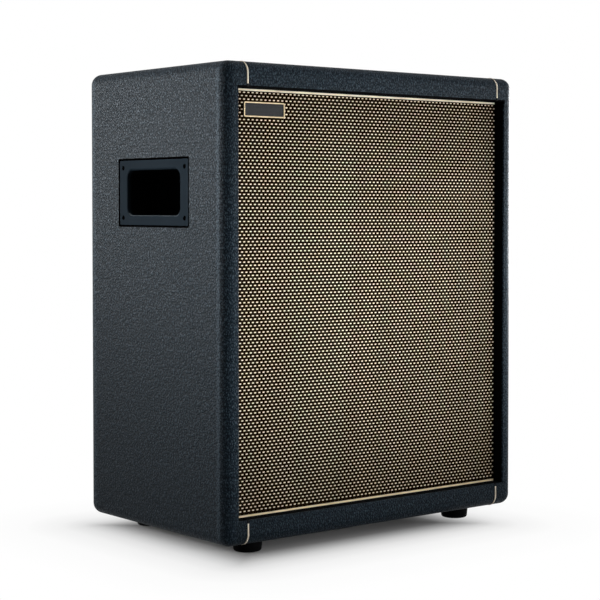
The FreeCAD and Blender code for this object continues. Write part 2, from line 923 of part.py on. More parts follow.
def grille():
    """A frame with cloth stretched over it, beads along its top and bottom, and hook-and-loop tabs."""
    frame_x = "(fit.grille_x - dim.cloth)"
    frame_z = "(fit.grille_z - dim.cloth)"
    frame_y = "(fit.cloth_front + dim.cloth)"

    def board(name, half_x, half_z, front, back, radius):
        """A board with its front edges rounded over."""
        blank = box(
            f"{name}_blank",
            (f"-{half_x}", half_x),
            (front, back),
            (f"fit.case_middle - {half_z}", f"fit.case_middle + {half_z}"),
        )
        doc.recompute()
        level = blank.Shape.BoundBox.YMin
        return rounded(name, blank, radius, lambda edge: lies_at(edge, "y", level))

    inner_radius = dim.grille_edge_radius - dim.cloth
    core = board(
        "grille_core", frame_x, frame_z, frame_y, "fit.grille_back - dim.cloth", inner_radius
    )
    hole_x = f"({frame_x} - dim.grille_rail)"
    hole_z = f"({frame_z} - dim.grille_rail)"
    hole = box(
        "grille_hole",
        (f"-{hole_x}", hole_x),
        (f"{frame_y} - dim.overrun", "fit.grille_back + dim.overrun"),
        (f"fit.case_middle - {hole_z}", f"fit.case_middle + {hole_z}"),
    )
    node(cut("grille_frame_cut", core, hole), "grille_frame")
    wrap = board(
        "cloth_wrap",
        "fit.grille_x",
        "fit.grille_z",
        "fit.cloth_front",
        "fit.grille_back",
        dim.grille_edge_radius,
    )
    back_x = f"({frame_x} - dim.cloth_turn)"
    back_z = f"({frame_z} - dim.cloth_turn)"
    window = box(
        "cloth_window",
        (f"-{back_x}", back_x),
        ("fit.grille_back - 2*dim.cloth", "fit.grille_back + dim.overrun"),
        (f"fit.case_middle - {back_z}", f"fit.case_middle + {back_z}"),
    )
    node(cut("cloth_shell", wrap, core, window), "grille_cloth")
    end = "(fit.grille_x - dim.bead_end)"
    for name, sign in (("top", 1), ("bottom", -1)):
        edge = f"fit.case_middle + {sign}*(fit.grille_z - dim.bead_inset)"
        inside = f"{edge} - {sign}*dim.bead_width"
        bead = box(
            f"bead_{name}_blank",
            (f"-{end}", end),
            ("fit.cloth_front - dim.bead_depth", "fit.cloth_front"),
            (inside, edge) if sign > 0 else (edge, inside),
        )
        doc.recompute()
        level = bead.Shape.BoundBox.YMin
        soft = rounded(
            f"bead_{name}", bead, dim.bead_round, lambda edge: lies_at(edge, "y", level)
        )
        node(soft, f"grille_bead_{name}")
    rail_x = f"({frame_x} - dim.grille_rail/2)"
    for name, low in (("hook", "fit.grille_back"), ("loop", "fit.grille_back + dim.tab_thick")):
        tabs = []
        for sign in (-1, 1):
            for step in (-1, 0, 1):
                centre = f"(fit.case_middle + {step}*{hole_z}*{TAB_SHARE})"
                tabs.append(
                    box(
                        f"{name}_tab_{len(tabs)}",
                        (
                            f"{sign}*{rail_x} - dim.tab_width/2",
                            f"{sign}*{rail_x} + dim.tab_width/2",
                        ),
                        (low, f"{low} + dim.tab_thick"),
                        (f"{centre} - dim.tab_length/2", f"{centre} + dim.tab_length/2"),
                    )
                )
        group = doc.addObject("Part::Compound", f"{name}_tabs")
        group.Links = tabs
        node(group, f"grille_{name}_tabs")


grille()


# Handles and feet


def flanged_cup(name, well):
    """A plate on XY with its face at z = 0 and a well behind it, from the sizes of those two names."""
    width, height, plate, wall = (
        f"dim.{name}_{size}" for size in ("width", "height", "plate", "wall")
    )
    well_x, well_y = (f"fit.{well}_{size}" for size in ("width", "height"))
    depth, corner = (f"dim.{well}_{size}" for size in ("depth", "corner"))
    flat = padded(f"{name}_flat", rectangle(f"{width}/2", f"{height}/2"), plate)
    move(flat, z=f"-{plate}")
    plate_radius = getattr(dim, f"{name}_corner")
    upright = getattr(dim, f"{name}_plate") / 2
    soft = rounded(
        f"{name}_plate", flat, plate_radius, lambda edge: edge.BoundBox.ZLength > upright
    )
    outer = padded(
        f"{name}_cup",
        rectangle(f"({well_x}/2 + {wall})", f"({well_y}/2 + {wall})"),
        f"({depth} + dim.overrun)",
        radius=f"({corner} + {wall})",
    )
    move(outer, z=f"-{depth}")
    below = box(
        f"{name}_below",
        (f"-{width}", width),
        (f"-{height}", height),
        (f"-({depth} + dim.overrun)", f"-{plate}/2"),
    )
    inner = padded(
        f"{name}_well",
        rectangle(f"{well_x}/2", f"{well_y}/2"),
        f"({depth} - {wall} + dim.overrun)",
        radius=corner,
    )
    move(inner, z=f"-({depth} - {wall})")
    solid = fuse(f"{name}_solid", soft, common(f"{name}_cup_cut", outer, below))
    return cut(f"{name}_dished", solid, inner)


def soft_lip(name, base, well, radius):
    """Rounds the mouth of a flanged cup."""
    half_x = getattr(fit, f"{well}_width") / 2 + dim.hole_gap
    half_y = getattr(fit, f"{well}_height") / 2 + dim.hole_gap

    def is_mouth(edge):
        across = max(map(abs, spread(edge, "x")))
        up = max(map(abs, spread(edge, "y")))
        return lies_at(edge, "z", 0) and across < half_x and up < half_y

    return rounded(name, base, radius, is_mouth)


def corners(span, rise):
    """Four places round the middle of a plate."""
    return [
        Placement(Vector(across * span / 2, up * rise / 2, 0), Rotation())
        for across in (-1, 1)
        for up in (-1, 1)
    ]


def side_handles():
    """Moulded cups let into the sides, each with a plate held by four sunk screws."""
    cup = flanged_cup("handle", "pocket")
    flat = corners(fit.handle_screw_span, fit.handle_screw_rise)
    through = bored("handle_plate_holes", dim.handle_screw_shank, dim.handle_screw_length, flat)
    sink_depth = (dim.handle_screw_head - dim.handle_screw_shank) / 2
    sinks = copies(
        "handle_plate_sinks",
        Part.makeCone(
            dim.handle_screw_head / 2 + dim.hole_gap,
            dim.handle_screw_shank / 2 + dim.hole_gap,
            sink_depth,
            Vector(),
            Vector(0, 0, -1),
        ),
        flat,
    )
    drilled = cut("handle_drilled", cup, through, sinks)
    lip = soft_lip("handle_lip", drilled, "pocket", dim.pocket_lip)
    doc.recompute()
    places = []
    for side, sign in SIDES.items():
        made = shaped(f"{side}_handle_cup", lip.Shape)
        made.Placement = Placement(
            Vector(
                sign * (dim.body_width / 2 - dim.handle_sink),
                0,
                fit.handle_level,
            ),
            FACING[side],
        )
        node(made, f"{side}_handle")
        places += handle_places(side)
    one = screw(
        "handle_screw",
        "dim.handle_screw_head",
        "0",
        "dim.handle_screw_shank",
        "dim.handle_screw_length",
        sunk=True,
    )
    doc.recompute()
    node(copies("handle_screw_set", one.Shape, places), "handle_screws")


def round_foot(name, profile):
    """One turned foot with its lower outer edge rounded."""
    foot = revolved(f"{name}_rubber", profile, "XZ_Plane")
    doc.recompute()
    turn = foot.Tip
    rim = [
        f"Edge{index}"
        for index, edge in enumerate(turn.Shape.Edges, start=1)
        if lies_at(edge, "z", 0) and max(spread(edge, "x")) > dim.foot_recess / 2 + dim.hole_gap
    ]
    soft = foot.newObject("PartDesign::Fillet", f"{name}_edge")
    soft.Base = (turn, rim)
    bind(soft, Radius="dim.foot_edge")
    return node(foot, name)


def feet():
    """Rubber feet, each held by a screw and a washer in its recess."""
    profile = [
        ("dim.screw_shank/2 + dim.hole_gap", "dim.foot_height"),
        ("dim.foot_top/2", "dim.foot_height"),
        ("dim.foot_bottom/2", "0"),
        ("dim.foot_recess/2", "0"),
        ("dim.foot_recess/2", "dim.foot_height - dim.foot_web"),
        ("dim.screw_shank/2 + dim.hole_gap", "dim.foot_height - dim.foot_web"),
    ]
    for end, along in ENDS.items():
        for side, across in SIDES.items():
            foot = round_foot(f"foot_{end}_{side}", profile)
            move(
                foot,
                f"{across}*(dim.body_width/2 - dim.foot_side_inset)",
                f"{along}*(dim.body_depth/2 - dim.foot_end_inset)",
            )
    seat = dim.foot_height - dim.foot_web
    washer = revolved(
        "foot_washer",
        [
            ("dim.screw_shank/2 + dim.hole_gap", "0"),
            ("dim.washer_diameter/2", "0"),
            ("dim.washer_diameter/2", "dim.washer_thick"),
            ("dim.screw_shank/2 + dim.hole_gap", "dim.washer_thick"),
        ],
        "XZ_Plane",
    )
    one = screw(
        "foot_screw",
        "dim.screw_head",
        "dim.screw_head_depth",
        "dim.screw_shank",
        "(dim.washer_thick + dim.foot_web + dim.foot_screw_bite)",
    )
    doc.recompute()
    level = [Placement(spot, Rotation()) for spot in foot_places(seat - dim.washer_thick).values()]
    node(copies("foot_washer_set", washer.Shape, level), "foot_washers")
    down = Rotation(Vector(1, 0, 0), 180)
    heads = [Placement(spot, down) for spot in foot_places(seat - dim.washer_thick).values()]
    node(copies("foot_screw_set", one.Shape, heads), "foot_screws")


side_handles()
feet()


# Driver


def on_axis(body):
    return move(body, y="fit.flange_front", z="fit.case_middle")


def basket():
    """A pressed steel frame: flange, ledge for the cone's rim, windowed wall, spider seat and neck."""
    outer = "fit.driver_diameter/2"
    seat = "fit.rim_seat/2"
    ledge = "(fit.gasket_bore/2 - dim.hole_gap)"
    steel = "dim.sheet_steel"
    waist = "(dim.basket_neck + dim.spider_seat)"
    profile = [
        (outer, "0"),
        (outer, steel),
        (f"{ledge} + {steel}/2", steel),
        (f"{ledge} + {steel}/2", f"{steel} + dim.rim_thick"),
        (f"{seat} + {steel}", f"{steel} + dim.rim_thick"),
        (f"{seat} + {steel}", "dim.basket_step"),
        (f"{waist} + {steel}", f"dim.basket_waist + {steel}"),
        (f"dim.basket_neck + {steel}", f"dim.basket_waist + {steel}"),
        (f"dim.basket_neck + {steel}", "dim.basket_depth"),
        ("dim.basket_bore/2", "dim.basket_depth"),
        ("dim.basket_bore/2", f"dim.basket_depth - {steel}"),
        ("dim.basket_neck", f"dim.basket_depth - {steel}"),
        ("dim.basket_neck", "dim.basket_waist"),
        (waist, "dim.basket_waist"),
        (seat, "dim.basket_step"),
        (seat, "dim.rim_thick"),
        (ledge, "dim.rim_thick"),
        (ledge, "0"),
    ]
    body = revolved("basket_pressing", profile)
    outline = [
        (f"-{WINDOW_INNER_SHARE}*fit.window_inner/2", "fit.window_inner"),
        (f"{WINDOW_INNER_SHARE}*fit.window_inner/2", "fit.window_inner"),
        (f"{WINDOW_OUTER_SHARE}*fit.window_outer/2", "fit.window_outer"),
        (f"-{WINDOW_OUTER_SHARE}*fit.window_outer/2", "fit.window_outer"),
    ]
    tool = padded(
        "window_tool",
        outline,
        "2*(dim.basket_depth + dim.overrun)",
        "XZ_Plane",
        "dim.window_corner",
        both_ways=True,
    )
    doc.recompute()
    turns = [Rotation(Vector(0, 1, 0), FULL_TURN * index / WINDOWS) for index in range(WINDOWS)]
    centre = Vector(0, fit.flange_front, fit.case_middle)
    windows = copies("windows", tool.Shape, [Placement(centre, turn) for turn in turns])
    on_axis(body)
    pierced = cut("basket_windowed", body, windows)
    bracket = box(
        "terminal_bracket",
        ("-dim.bracket_width/2", "dim.bracket_width/2"),
        ("fit.terminal_face - dim.sheet_steel", "fit.terminal_face"),
        (
            "fit.case_middle - dim.basket_neck - dim.bracket_length",
            "fit.case_middle - dim.basket_neck - dim.sheet_steel/2",
        ),
    )
    holes = bored(
        "basket_bolt_holes",
        dim.bolt_shank,
        dim.overrun,
        ring(fit.bolt_circle / 2, BOLTS, fit.flange_front, ALONG_Y),
    )
    node(cut("basket_bored", fuse("basket_whole", pierced, bracket), holes), "driver_basket")


def gasket_ring():
    ring_body = revolved(
        "gasket_blank",
        [
            ("fit.gasket_bore/2", "-dim.gasket"),
            ("fit.driver_diameter/2 - dim.gasket_margin", "-dim.gasket"),
            ("fit.driver_diameter/2 - dim.gasket_margin", "0"),
            ("fit.gasket_bore/2", "0"),
        ],
    )
    on_axis(ring_body)
    holes = bored(
        "gasket_holes",
        dim.bolt_shank,
        dim.overrun,
        ring(fit.bolt_circle / 2, BOLTS, fit.flange_front, ALONG_Y),
    )
    node(cut("gasket_bored", ring_body, holes), "driver_gasket")


def wavy(inner, outer, level, wave, waves, thick):
    """The two faces of a corrugated ring, from its inner to its outer radius."""
    steps = 2 * waves
    face = []
    for index in range(steps + 1):
        radius = f"({inner} + ({outer} - {inner})*{index}/{steps})"
        swing = 0 if index in (0, steps) else (1 if index % 2 else -1)
        face.append((radius, f"({level} + {swing}*{wave})"))
    back = [(radius, f"({along} + {thick})") for radius, along in reversed(face)]
    return face, back


def on_cone(radius, lift="0"):
    """A point of the cone's front face, as far in front of its slope as the lift."""
    slope = f"(fit.cone_diameter/2 - ({radius}))*fit.cone_slope"
    return radius, f"dim.cone_front + {slope} - {lift}"


def cone_face():
    """The front of the cone from its edge to its neck, with ribs pressed in near the edge."""
    face = [on_cone("fit.cone_diameter/2")]
    for index in range(CONE_RIBS):
        crest = f"(fit.cone_diameter/2 - dim.cone_rib_inset - {index}*dim.cone_rib_pitch)"
        face += [
            on_cone(f"{crest} + dim.cone_rib_width/2"),
            on_cone(crest, "dim.cone_rib_rise"),
            on_cone(f"{crest} - dim.cone_rib_width/2"),
        ]
    return face + [on_cone("fit.cone_neck")]


def moving_parts():
    """What slides along the axis: cone, dust cap, former and winding."""
    front = cone_face()
    rear = [(radius, f"{along} + dim.paper") for radius, along in reversed(front)]
    rear[0] = (rear[0][0], f"{rear[0][1]} + dim.glue")
    node(on_axis(revolved("cone_paper", front + rear)), "driver_cone")
    coil_mid = "(dim.basket_depth + dim.front_plate/2)"
    former = [
        ("dim.coil_bore/2", "dim.former_front"),
        ("fit.former_outer", "dim.former_front"),
        ("fit.former_outer", f"{coil_mid} + dim.winding_length/2 + dim.former_tail"),
        ("dim.coil_bore/2", f"{coil_mid} + dim.winding_length/2 + dim.former_tail"),
    ]
    node(on_axis(revolved("former_tube", former)), "voice_coil_former")
    inside = "(fit.former_outer + dim.coil_gap)"
    winding = [
        (inside, f"{coil_mid} - dim.winding_length/2"),
        (f"{inside} + dim.winding_wall", f"{coil_mid} - dim.winding_length/2"),
        (f"{inside} + dim.winding_wall", f"{coil_mid} + dim.winding_length/2"),
        (inside, f"{coil_mid} + dim.winding_length/2"),
    ]
    node(on_axis(revolved("winding_turns", winding)), "voice_coil_winding")
    half = dim.cap_diameter / 2
    seat = dim.cone_front + (fit.cone_diameter / 2 - half) * fit.cone_slope - dim.glue
    radius = (half**2 + dim.cap_rise**2) / (2 * dim.cap_rise)
    centre = Vector(0, fit.flange_front + seat + radius - dim.cap_rise, fit.case_middle)
    dome = Part.makeSphere(radius, centre).cut(Part.makeSphere(radius - dim.paper, centre))
    rim = Vector(0, fit.flange_front + seat, fit.case_middle)
    keep = Part.makeCylinder(half, dim.cap_rise + dim.overrun, rim, Vector(0, -1, 0))
    node(shaped("dust_cap_dome", dome.common(keep)), "driver_dust_cap")


def suspension():
    """The corrugated rim and spider, which bend while the cone moves."""
    inner = "(fit.cone_diameter/2 + dim.glue)"
    edge = "(fit.rim_seat/2 - dim.glue)"
    level = "dim.cone_front"
    face, back = wavy(inner, edge, level, "dim.surround_wave", SURROUND_WAVES, "dim.rim_thick")
    rim = "(fit.gasket_bore/2 - 2*dim.hole_gap)"
    glued = [(edge, "0"), (rim, "0"), (rim, "dim.rim_thick"), (edge, "dim.rim_thick")]
    profile = face[:-1] + glued + back[1:]
    node(on_axis(revolved("surround_rim", profile)), "driver_surround")
    inner = "(fit.former_outer + dim.glue)"
    level = "(dim.basket_waist - dim.paper)"
    face, back = wavy(inner, "dim.basket_neck", level, "dim.spider_wave", SPIDER_WAVES, "dim.paper")
    foot = "(dim.basket_neck + dim.spider_seat - dim.sheet_steel)"
    profile = face + [(foot, level), (foot, f"{level} + dim.paper")] + back
    node(on_axis(revolved("spider_disc", profile)), "driver_spider")


def motor():
    """Front plate, ferrite ring and the back plate with its vented pole."""
    start = "dim.basket_depth"
    after_plate = "(dim.basket_depth + dim.front_plate)"
    after_magnet = f"({after_plate} + dim.magnet)"
    end = f"({after_magnet} + dim.back_plate)"
    plate = [
        ("dim.plate_bore/2", start),
        ("dim.front_plate_diameter/2", start),
        ("dim.front_plate_diameter/2", after_plate),
        ("dim.plate_bore/2", after_plate),
    ]
    node(on_axis(revolved("front_plate_ring", plate)), "driver_front_plate")
    magnet = [
        ("dim.magnet_bore/2", after_plate),
        ("dim.magnet_diameter/2", after_plate),
        ("dim.magnet_diameter/2", after_magnet),
        ("dim.magnet_bore/2", after_magnet),
    ]
    node(on_axis(revolved("magnet_ring", magnet)), "driver_magnet")
    yoke = [
        ("dim.vent/2", start),
        ("dim.pole_diameter/2", start),
        ("dim.pole_diameter/2", after_magnet),
        ("dim.front_plate_diameter/2", after_magnet),
        ("dim.front_plate_diameter/2", end),
        ("dim.vent/2", end),
    ]
    node(on_axis(revolved("pole_yoke", yoke)), "driver_back_plate")


def terminals():
    """A fibre board on the basket's bracket, two lugs, and the braided leads to the cone."""
    face = "fit.terminal_face"
    board_top = "(fit.case_middle - dim.basket_neck - dim.sheet_steel - dim.hole_gap)"
    board = box(
        "terminal_fibre",
        ("-dim.board_width/2", "dim.board_width/2"),
        (face, f"{face} + dim.board_thick"),
        (f"{board_top} - dim.board_length", board_top),
    )
    node(board, "terminal_board")
    lugs = []
    back = f"({face} + dim.board_thick)"
    lug_end = f"({board_top} - dim.board_length - dim.lug_length/2)"
    for sign in (-1, 1):
        lugs.append(
            box(
                f"terminal_lug_{len(lugs)}",
                (
                    f"{sign}*dim.lug_spread - dim.lug_width/2",
                    f"{sign}*dim.lug_spread + dim.lug_width/2",
                ),
                (back, f"{back} + dim.lug_thick"),
                (lug_end, f"{lug_end} + dim.lug_length"),
            )
        )
    group = doc.addObject("Part::Compound", "terminal_lug_pair")
    group.Links = lugs
    node(group, "terminal_lugs")


def bolts():
    """Bolts through the flange and the gasket into inserts in the front of the baffle."""
    length = "(dim.sheet_steel + dim.gasket + dim.baffle)"
    one = screw("driver_bolt", "dim.bolt_head", "dim.bolt_head_depth", "dim.bolt_shank", length)
    insert = revolved(
        "insert",
        [
            ("dim.bolt_shank/2 + dim.hole_gap", "dim.insert_flange_thick"),
            ("dim.insert_flange/2", "dim.insert_flange_thick"),
            ("dim.insert_flange/2", "0"),
            ("dim.insert_barrel/2", "0"),
            ("dim.insert_barrel/2", "-dim.insert_depth"),
            ("dim.bolt_shank/2 + dim.hole_gap", "-dim.insert_depth"),
        ],
        "XZ_Plane",
    )
    doc.recompute()
    backs = ring(fit.bolt_circle / 2, BOLTS, fit.flange_front + dim.sheet_steel, ALONG_Y)
    node(copies("driver_bolt_set", one.Shape, backs), "driver_bolts")
    forward = Rotation(Vector(1, 0, 0), 90)
    fronts = ring(fit.bolt_circle / 2, BOLTS, fit.baffle_front, forward)
    node(copies("insert_set", insert.Shape, fronts), "driver_inserts")


basket()
gasket_ring()
moving_parts()
suspension()
motor()
terminals()
bolts()


# Jack dish, jacks and wiring


def jack_dish():
    """A moulded dish in the back board that holds two jacks below its rim."""
    cup = flanged_cup("dish", "well")
    flat = corners(fit.dish_screw_span, fit.dish_screw_rise)
    through = bored("dish_plate_holes", dim.handle_screw_shank, dim.handle_screw_length, flat)
    bushes = [Placement(Vector(sign * dim.jack_spread / 2, 0, 0), Rotation()) for sign in (-1, 1)]
    jack_holes = bored("dish_jack_holes", dim.jack_bush, dim.well_depth + dim.overrun, bushes)
    drilled = cut("dish_drilled", cup, through, jack_holes)
    lip = soft_lip("dish_lip", drilled, "well", dim.well_lip)
    doc.recompute()
    made = shaped("dish_placed", lip.Shape)
    made.Placement = Placement(Vector(0, fit.dish_face, fit.dish_level), FACING["rear"])
    node(made, "jack_dish")
    one = screw(
        "dish_screw",
        "dim.dish_screw_head",
        "dim.screw_head_depth/2",
        "dim.handle_screw_shank",
        "dim.handle_screw_length",
    )
    doc.recompute()
    node(copies("dish_screw_set", one.Shape, dish_places()), "jack_dish_screws")


def jacks():
    """Two moulded jack sockets, their bushes through the floor of the dish, with nuts."""
    floor = "fit.dish_floor"
    level = "fit.dish_level"
    nut_set = []
    for name, sign in (("input", 1), ("link", -1)):
        line = f"{sign}*dim.jack_spread/2"
        front = f"({floor} - dim.jack_length)"
        lugs = [
            box(
                f"{name}_lug_{part}",
                (f"{line} - dim.jack_lug_width/2", f"{line} + dim.jack_lug_width/2"),
                (f"{front} - dim.jack_lug_length", f"{front} + dim.dish_wall"),
                (
                    f"{level} + {up}*dim.jack_lug_rise - dim.lug_thick/2",
                    f"{level} + {up}*dim.jack_lug_rise + dim.lug_thick/2",
                ),
            )
            for part, up in (("tip", 1), ("sleeve", -1))
        ]
        housing = box(
            f"{name}_housing",
            (f"{line} - dim.jack_width/2", f"{line} + dim.jack_width/2"),
            (front, floor),
            (f"{level} - dim.jack_height/2", f"{level} + dim.jack_height/2"),
        )
        bush = cylinder(
            f"{name}_bush",
            "dim.jack_bush/2",
            "dim.dish_wall + dim.jack_bush_out + dim.dish_wall",
            line,
            f"{floor} - dim.dish_wall",
            level,
            ALONG_Y,
        )
        mouth = f"({floor} + dim.dish_wall + dim.jack_bush_out)"
        bore = cylinder(
            f"{name}_bore",
            "dim.jack_bore/2",
            "dim.jack_reach + dim.overrun",
            line,
            f"{mouth} - dim.jack_reach",
            level,
            ALONG_Y,
        )
        node(cut(f"{name}_socket", fuse(f"{name}_solid", housing, bush, *lugs), bore), f"{name}_jack")
        nut = doc.addObject("Part::Prism", f"{name}_nut_blank")
        nut.Polygon = 6
        bind(nut, Circumradius="dim.nut_flats/2/cos(30)", Height="dim.nut_thick")
        move(nut, line, f"{floor} + dim.dish_wall", level, ALONG_Y)
        thread = cylinder(
            f"{name}_nut_bore",
            "dim.jack_bush/2 + dim.hole_gap",
            "dim.nut_thick + 2*dim.overrun",
            line,
            f"{floor} + dim.dish_wall - dim.overrun",
            level,
            ALONG_Y,
        )
        nut_set.append(cut(f"{name}_nut", nut, thread))
    group = doc.addObject("Part::Compound", "nut_pair")
    group.Links = nut_set
    node(group, "jack_nuts")


def lead(points, radius):
    """A round lead along straight runs joined by the widest arcs that the runs allow."""
    pieces = []
    start = points[0]
    for index in range(1, len(points) - 1):
        before, corner, after = points[index - 1], points[index], points[index + 1]
        back = (before - corner).normalize()
        onward = (after - corner).normalize()
        run = min((before - corner).Length, (after - corner).Length) * BEND_SHARE
        turn = math.pi - back.getAngle(onward)
        bend = run / math.tan(turn / 2)
        inward = (back + onward).normalize()
        middle_point = corner + inward * (bend / math.cos(turn / 2) - bend)
        enter, leave = corner + back * run, corner + onward * run
        pieces.append(Part.LineSegment(start, enter).toShape())
        pieces.append(Part.Arc(enter, middle_point, leave).toShape())
        start = leave
    pieces.append(Part.LineSegment(start, points[-1]).toShape())
    path = Part.Wire(pieces)
    section = Part.Wire(Part.makeCircle(radius, points[0], points[1] - points[0]))
    pipe = path.makePipeShell([section], True, False)
    return pipe if pipe.ShapeType == "Solid" else Part.Solid(pipe)


def wiring():
    """Leads from the first jack to the driver, and links between the jacks."""
    lug_front = fit.dish_floor - dim.jack_length - dim.jack_lug_length
    terminal_y = fit.terminal_face + dim.board_thick + dim.lug_thick / 2
    terminal_z = (
        fit.case_middle
        - dim.basket_neck
        - dim.sheet_steel
        - dim.hole_gap
        - dim.board_length
        - dim.lug_length / 2
    )
    reach = lug_front - terminal_y
    drop = terminal_z - fit.dish_level
    for name, up, side in (("red", 1, 1), ("black", -1, -1)):
        begin = Vector(dim.jack_spread / 2, lug_front, fit.dish_level + up * dim.jack_lug_rise)
        finish = Vector(side * dim.lug_spread, terminal_y, terminal_z)
        points = [
            begin,
            begin - Vector(0, reach * LEAVE_SHARE, 0),
            Vector(
                (begin.x + finish.x) / 2,
                terminal_y + reach * LEAVE_SHARE,
                begin.z + up * drop * SWAY_SHARE,
            ),
            finish - Vector(0, 0, drop * RISE_SHARE),
            finish,
        ]
        main = lead(points, dim.wire_radius)
        link = Part.makeCylinder(
            dim.link_radius,
            dim.jack_spread - dim.jack_lug_width,
            Vector(
                -dim.jack_spread / 2 + dim.jack_lug_width / 2,
                lug_front + dim.jack_lug_length * LINK_SHARE,
                begin.z,
            ),
            Vector(1, 0, 0),
        )
        node(shaped(f"{name}_leads", Part.makeCompound([main, link])), f"wire_{name}")


def braided_leads():
    """Limp braid from the terminals, through a window of the basket, to the back of the cone."""
    through = fit.case_middle - fit.window_inner - dim.lug_width
    braids = []
    join = dim.cone_front + (fit.cone_diameter / 2 - dim.lead_join) * fit.cone_slope
    touch = fit.flange_front + join + 2 * dim.paper + dim.lead_radius
    for side in (-1, 1):
        begin = Vector(side * dim.lug_spread, fit.terminal_face, through)
        finish = Vector(side * dim.lug_spread, touch, fit.case_middle - dim.lead_join)
        elbow = Vector(side * dim.lug_spread, (begin.y + finish.y) / 2, begin.z)
        knee = Vector(side * dim.lug_spread, finish.y + dim.lug_width, (begin.z + finish.z) / 2)
        braids.append(lead([begin, elbow, knee, finish], dim.lead_radius))
    node(shaped("braids", Part.makeCompound(braids)), "driver_braids")


jack_dish()
jacks()
wiring()
braided_leads()


# Checks and files


def check_and_write():
    doc.recompute()
    for item in doc.Objects:
        if "Invalid" in item.State or "Error" in item.State:
            raise RuntimeError(f"{item.Name} failed: {item.State}")
    os.makedirs("parts", exist_ok=True)
    for made in nodes:
        shape = made.Shape
        if shape.isNull() or not shape.isValid() or not shape.Solids:
            raise RuntimeError(f"{made.Label} has no valid solid")
        shape.exportStep(f"parts/{made.Label}.step")
        print(f"{made.Label}: {len(shape.Solids)} solids, {shape.Volume:.0f} mm3")


check_and_write()
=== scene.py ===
import math
from typing import NamedTuple

import bmesh
import bpy
import numpy as np
from mathutils import Matrix, Vector


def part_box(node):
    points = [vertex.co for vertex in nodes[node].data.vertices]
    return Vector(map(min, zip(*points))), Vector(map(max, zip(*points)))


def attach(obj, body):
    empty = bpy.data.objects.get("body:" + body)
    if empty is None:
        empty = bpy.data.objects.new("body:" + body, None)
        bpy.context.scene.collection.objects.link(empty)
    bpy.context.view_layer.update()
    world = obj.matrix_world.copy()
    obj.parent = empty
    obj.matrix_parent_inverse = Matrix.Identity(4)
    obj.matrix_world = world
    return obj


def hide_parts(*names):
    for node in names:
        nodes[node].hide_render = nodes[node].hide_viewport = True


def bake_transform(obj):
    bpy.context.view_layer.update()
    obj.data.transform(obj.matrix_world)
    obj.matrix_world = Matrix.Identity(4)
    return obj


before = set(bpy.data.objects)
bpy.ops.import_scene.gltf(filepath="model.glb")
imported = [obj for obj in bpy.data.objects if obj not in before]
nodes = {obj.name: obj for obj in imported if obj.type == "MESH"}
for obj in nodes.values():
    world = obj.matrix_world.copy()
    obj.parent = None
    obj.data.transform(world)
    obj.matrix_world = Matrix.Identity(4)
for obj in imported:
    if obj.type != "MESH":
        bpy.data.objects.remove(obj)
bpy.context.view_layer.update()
MM = 0.001

# Places read from the frame
CLOTH_LOW, CLOTH_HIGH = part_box("grille_cloth")
CASE_LOW, CASE_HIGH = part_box("covering_left")[0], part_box("covering_right")[1]
BEAD_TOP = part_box("grille_bead_top")
BEAD_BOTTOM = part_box("grille_bead_bottom")
HANDLE_LOW, HANDLE_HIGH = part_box("right_handle")
PIPING_LOW, PIPING_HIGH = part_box("piping_top_right")
CENTRE = (CLOTH_LOW + CLOTH_HIGH) / 2
CLOTH_HALF_Z = (CLOTH_HIGH.z - CLOTH_LOW.z) / 2
HANDLE_HALF = (HANDLE_HIGH - HANDLE_LOW) / 2
HANDLE_LEVEL = (HANDLE_LOW.z + HANDLE_HIGH.z) / 2
PIPING_ASIDE = (PIPING_LOW.x + PIPING_HIGH.x) / 2

# Woven cloth
CLOTH_THICK = 0.6 * MM
CLOTH_EDGE = 1.2 * MM
CLOTH_EDGE_STEPS = 5
CLOTH_LEAST_CORNER = 0.2 * MM
CLOTH_TURN = 20 * MM
COLUMN_PITCH = 5.06 * MM
ROW_PITCH = 3.181 * MM
YARNS_PER_COLUMN = 5
YARNS_PER_ROW = 3
FLOAT_LENGTH = 3.1 * MM
FLOAT_WIDTH = 2.05 * MM
FLOAT_RISE = 0.5 * MM
FLOAT_ROOT = 0.15 * MM
FLOAT_STRANDS = 3
FLOAT_TAPER_SHARE = 0.72
FLOAT_ALONG_SHARES = (-1.0, -0.62, 0.0, 0.62, 1.0)
FLOAT_ACROSS_SHARES = (-1.0, 0.0, 1.0)
TIE_WIDTH = 1.0 * MM
TIE_LENGTH_SHARE = 1.2
TIE_RISE_SHARE = 0.7
PATTERN_SHIFT = (1.2 * MM, 1.0 * MM)

# Blank plate on the cloth
PLATE_CENTRE = (-137.9 * MM, 422.5 * MM)
PLATE_SIZE = (48.8 * MM, 14.4 * MM)
PLATE_THICK = 2.0 * MM
PLATE_RIM = 1.3 * MM
PLATE_CORNER = 1.6 * MM
PLATE_CORNER_SHARE = 0.7
PLATE_SOFT = 0.35 * MM
PLATE_SOFT_SHARE = 0.3
PLATE_FOOT = 0.3 * MM
PLATE_SINK = 0.8 * MM
PLATE_STANDOFF = 0.3 * MM
PLATE_FACE = CLOTH_LOW.y - PLATE_STANDOFF - PLATE_THICK
CORNER_STEPS = 4

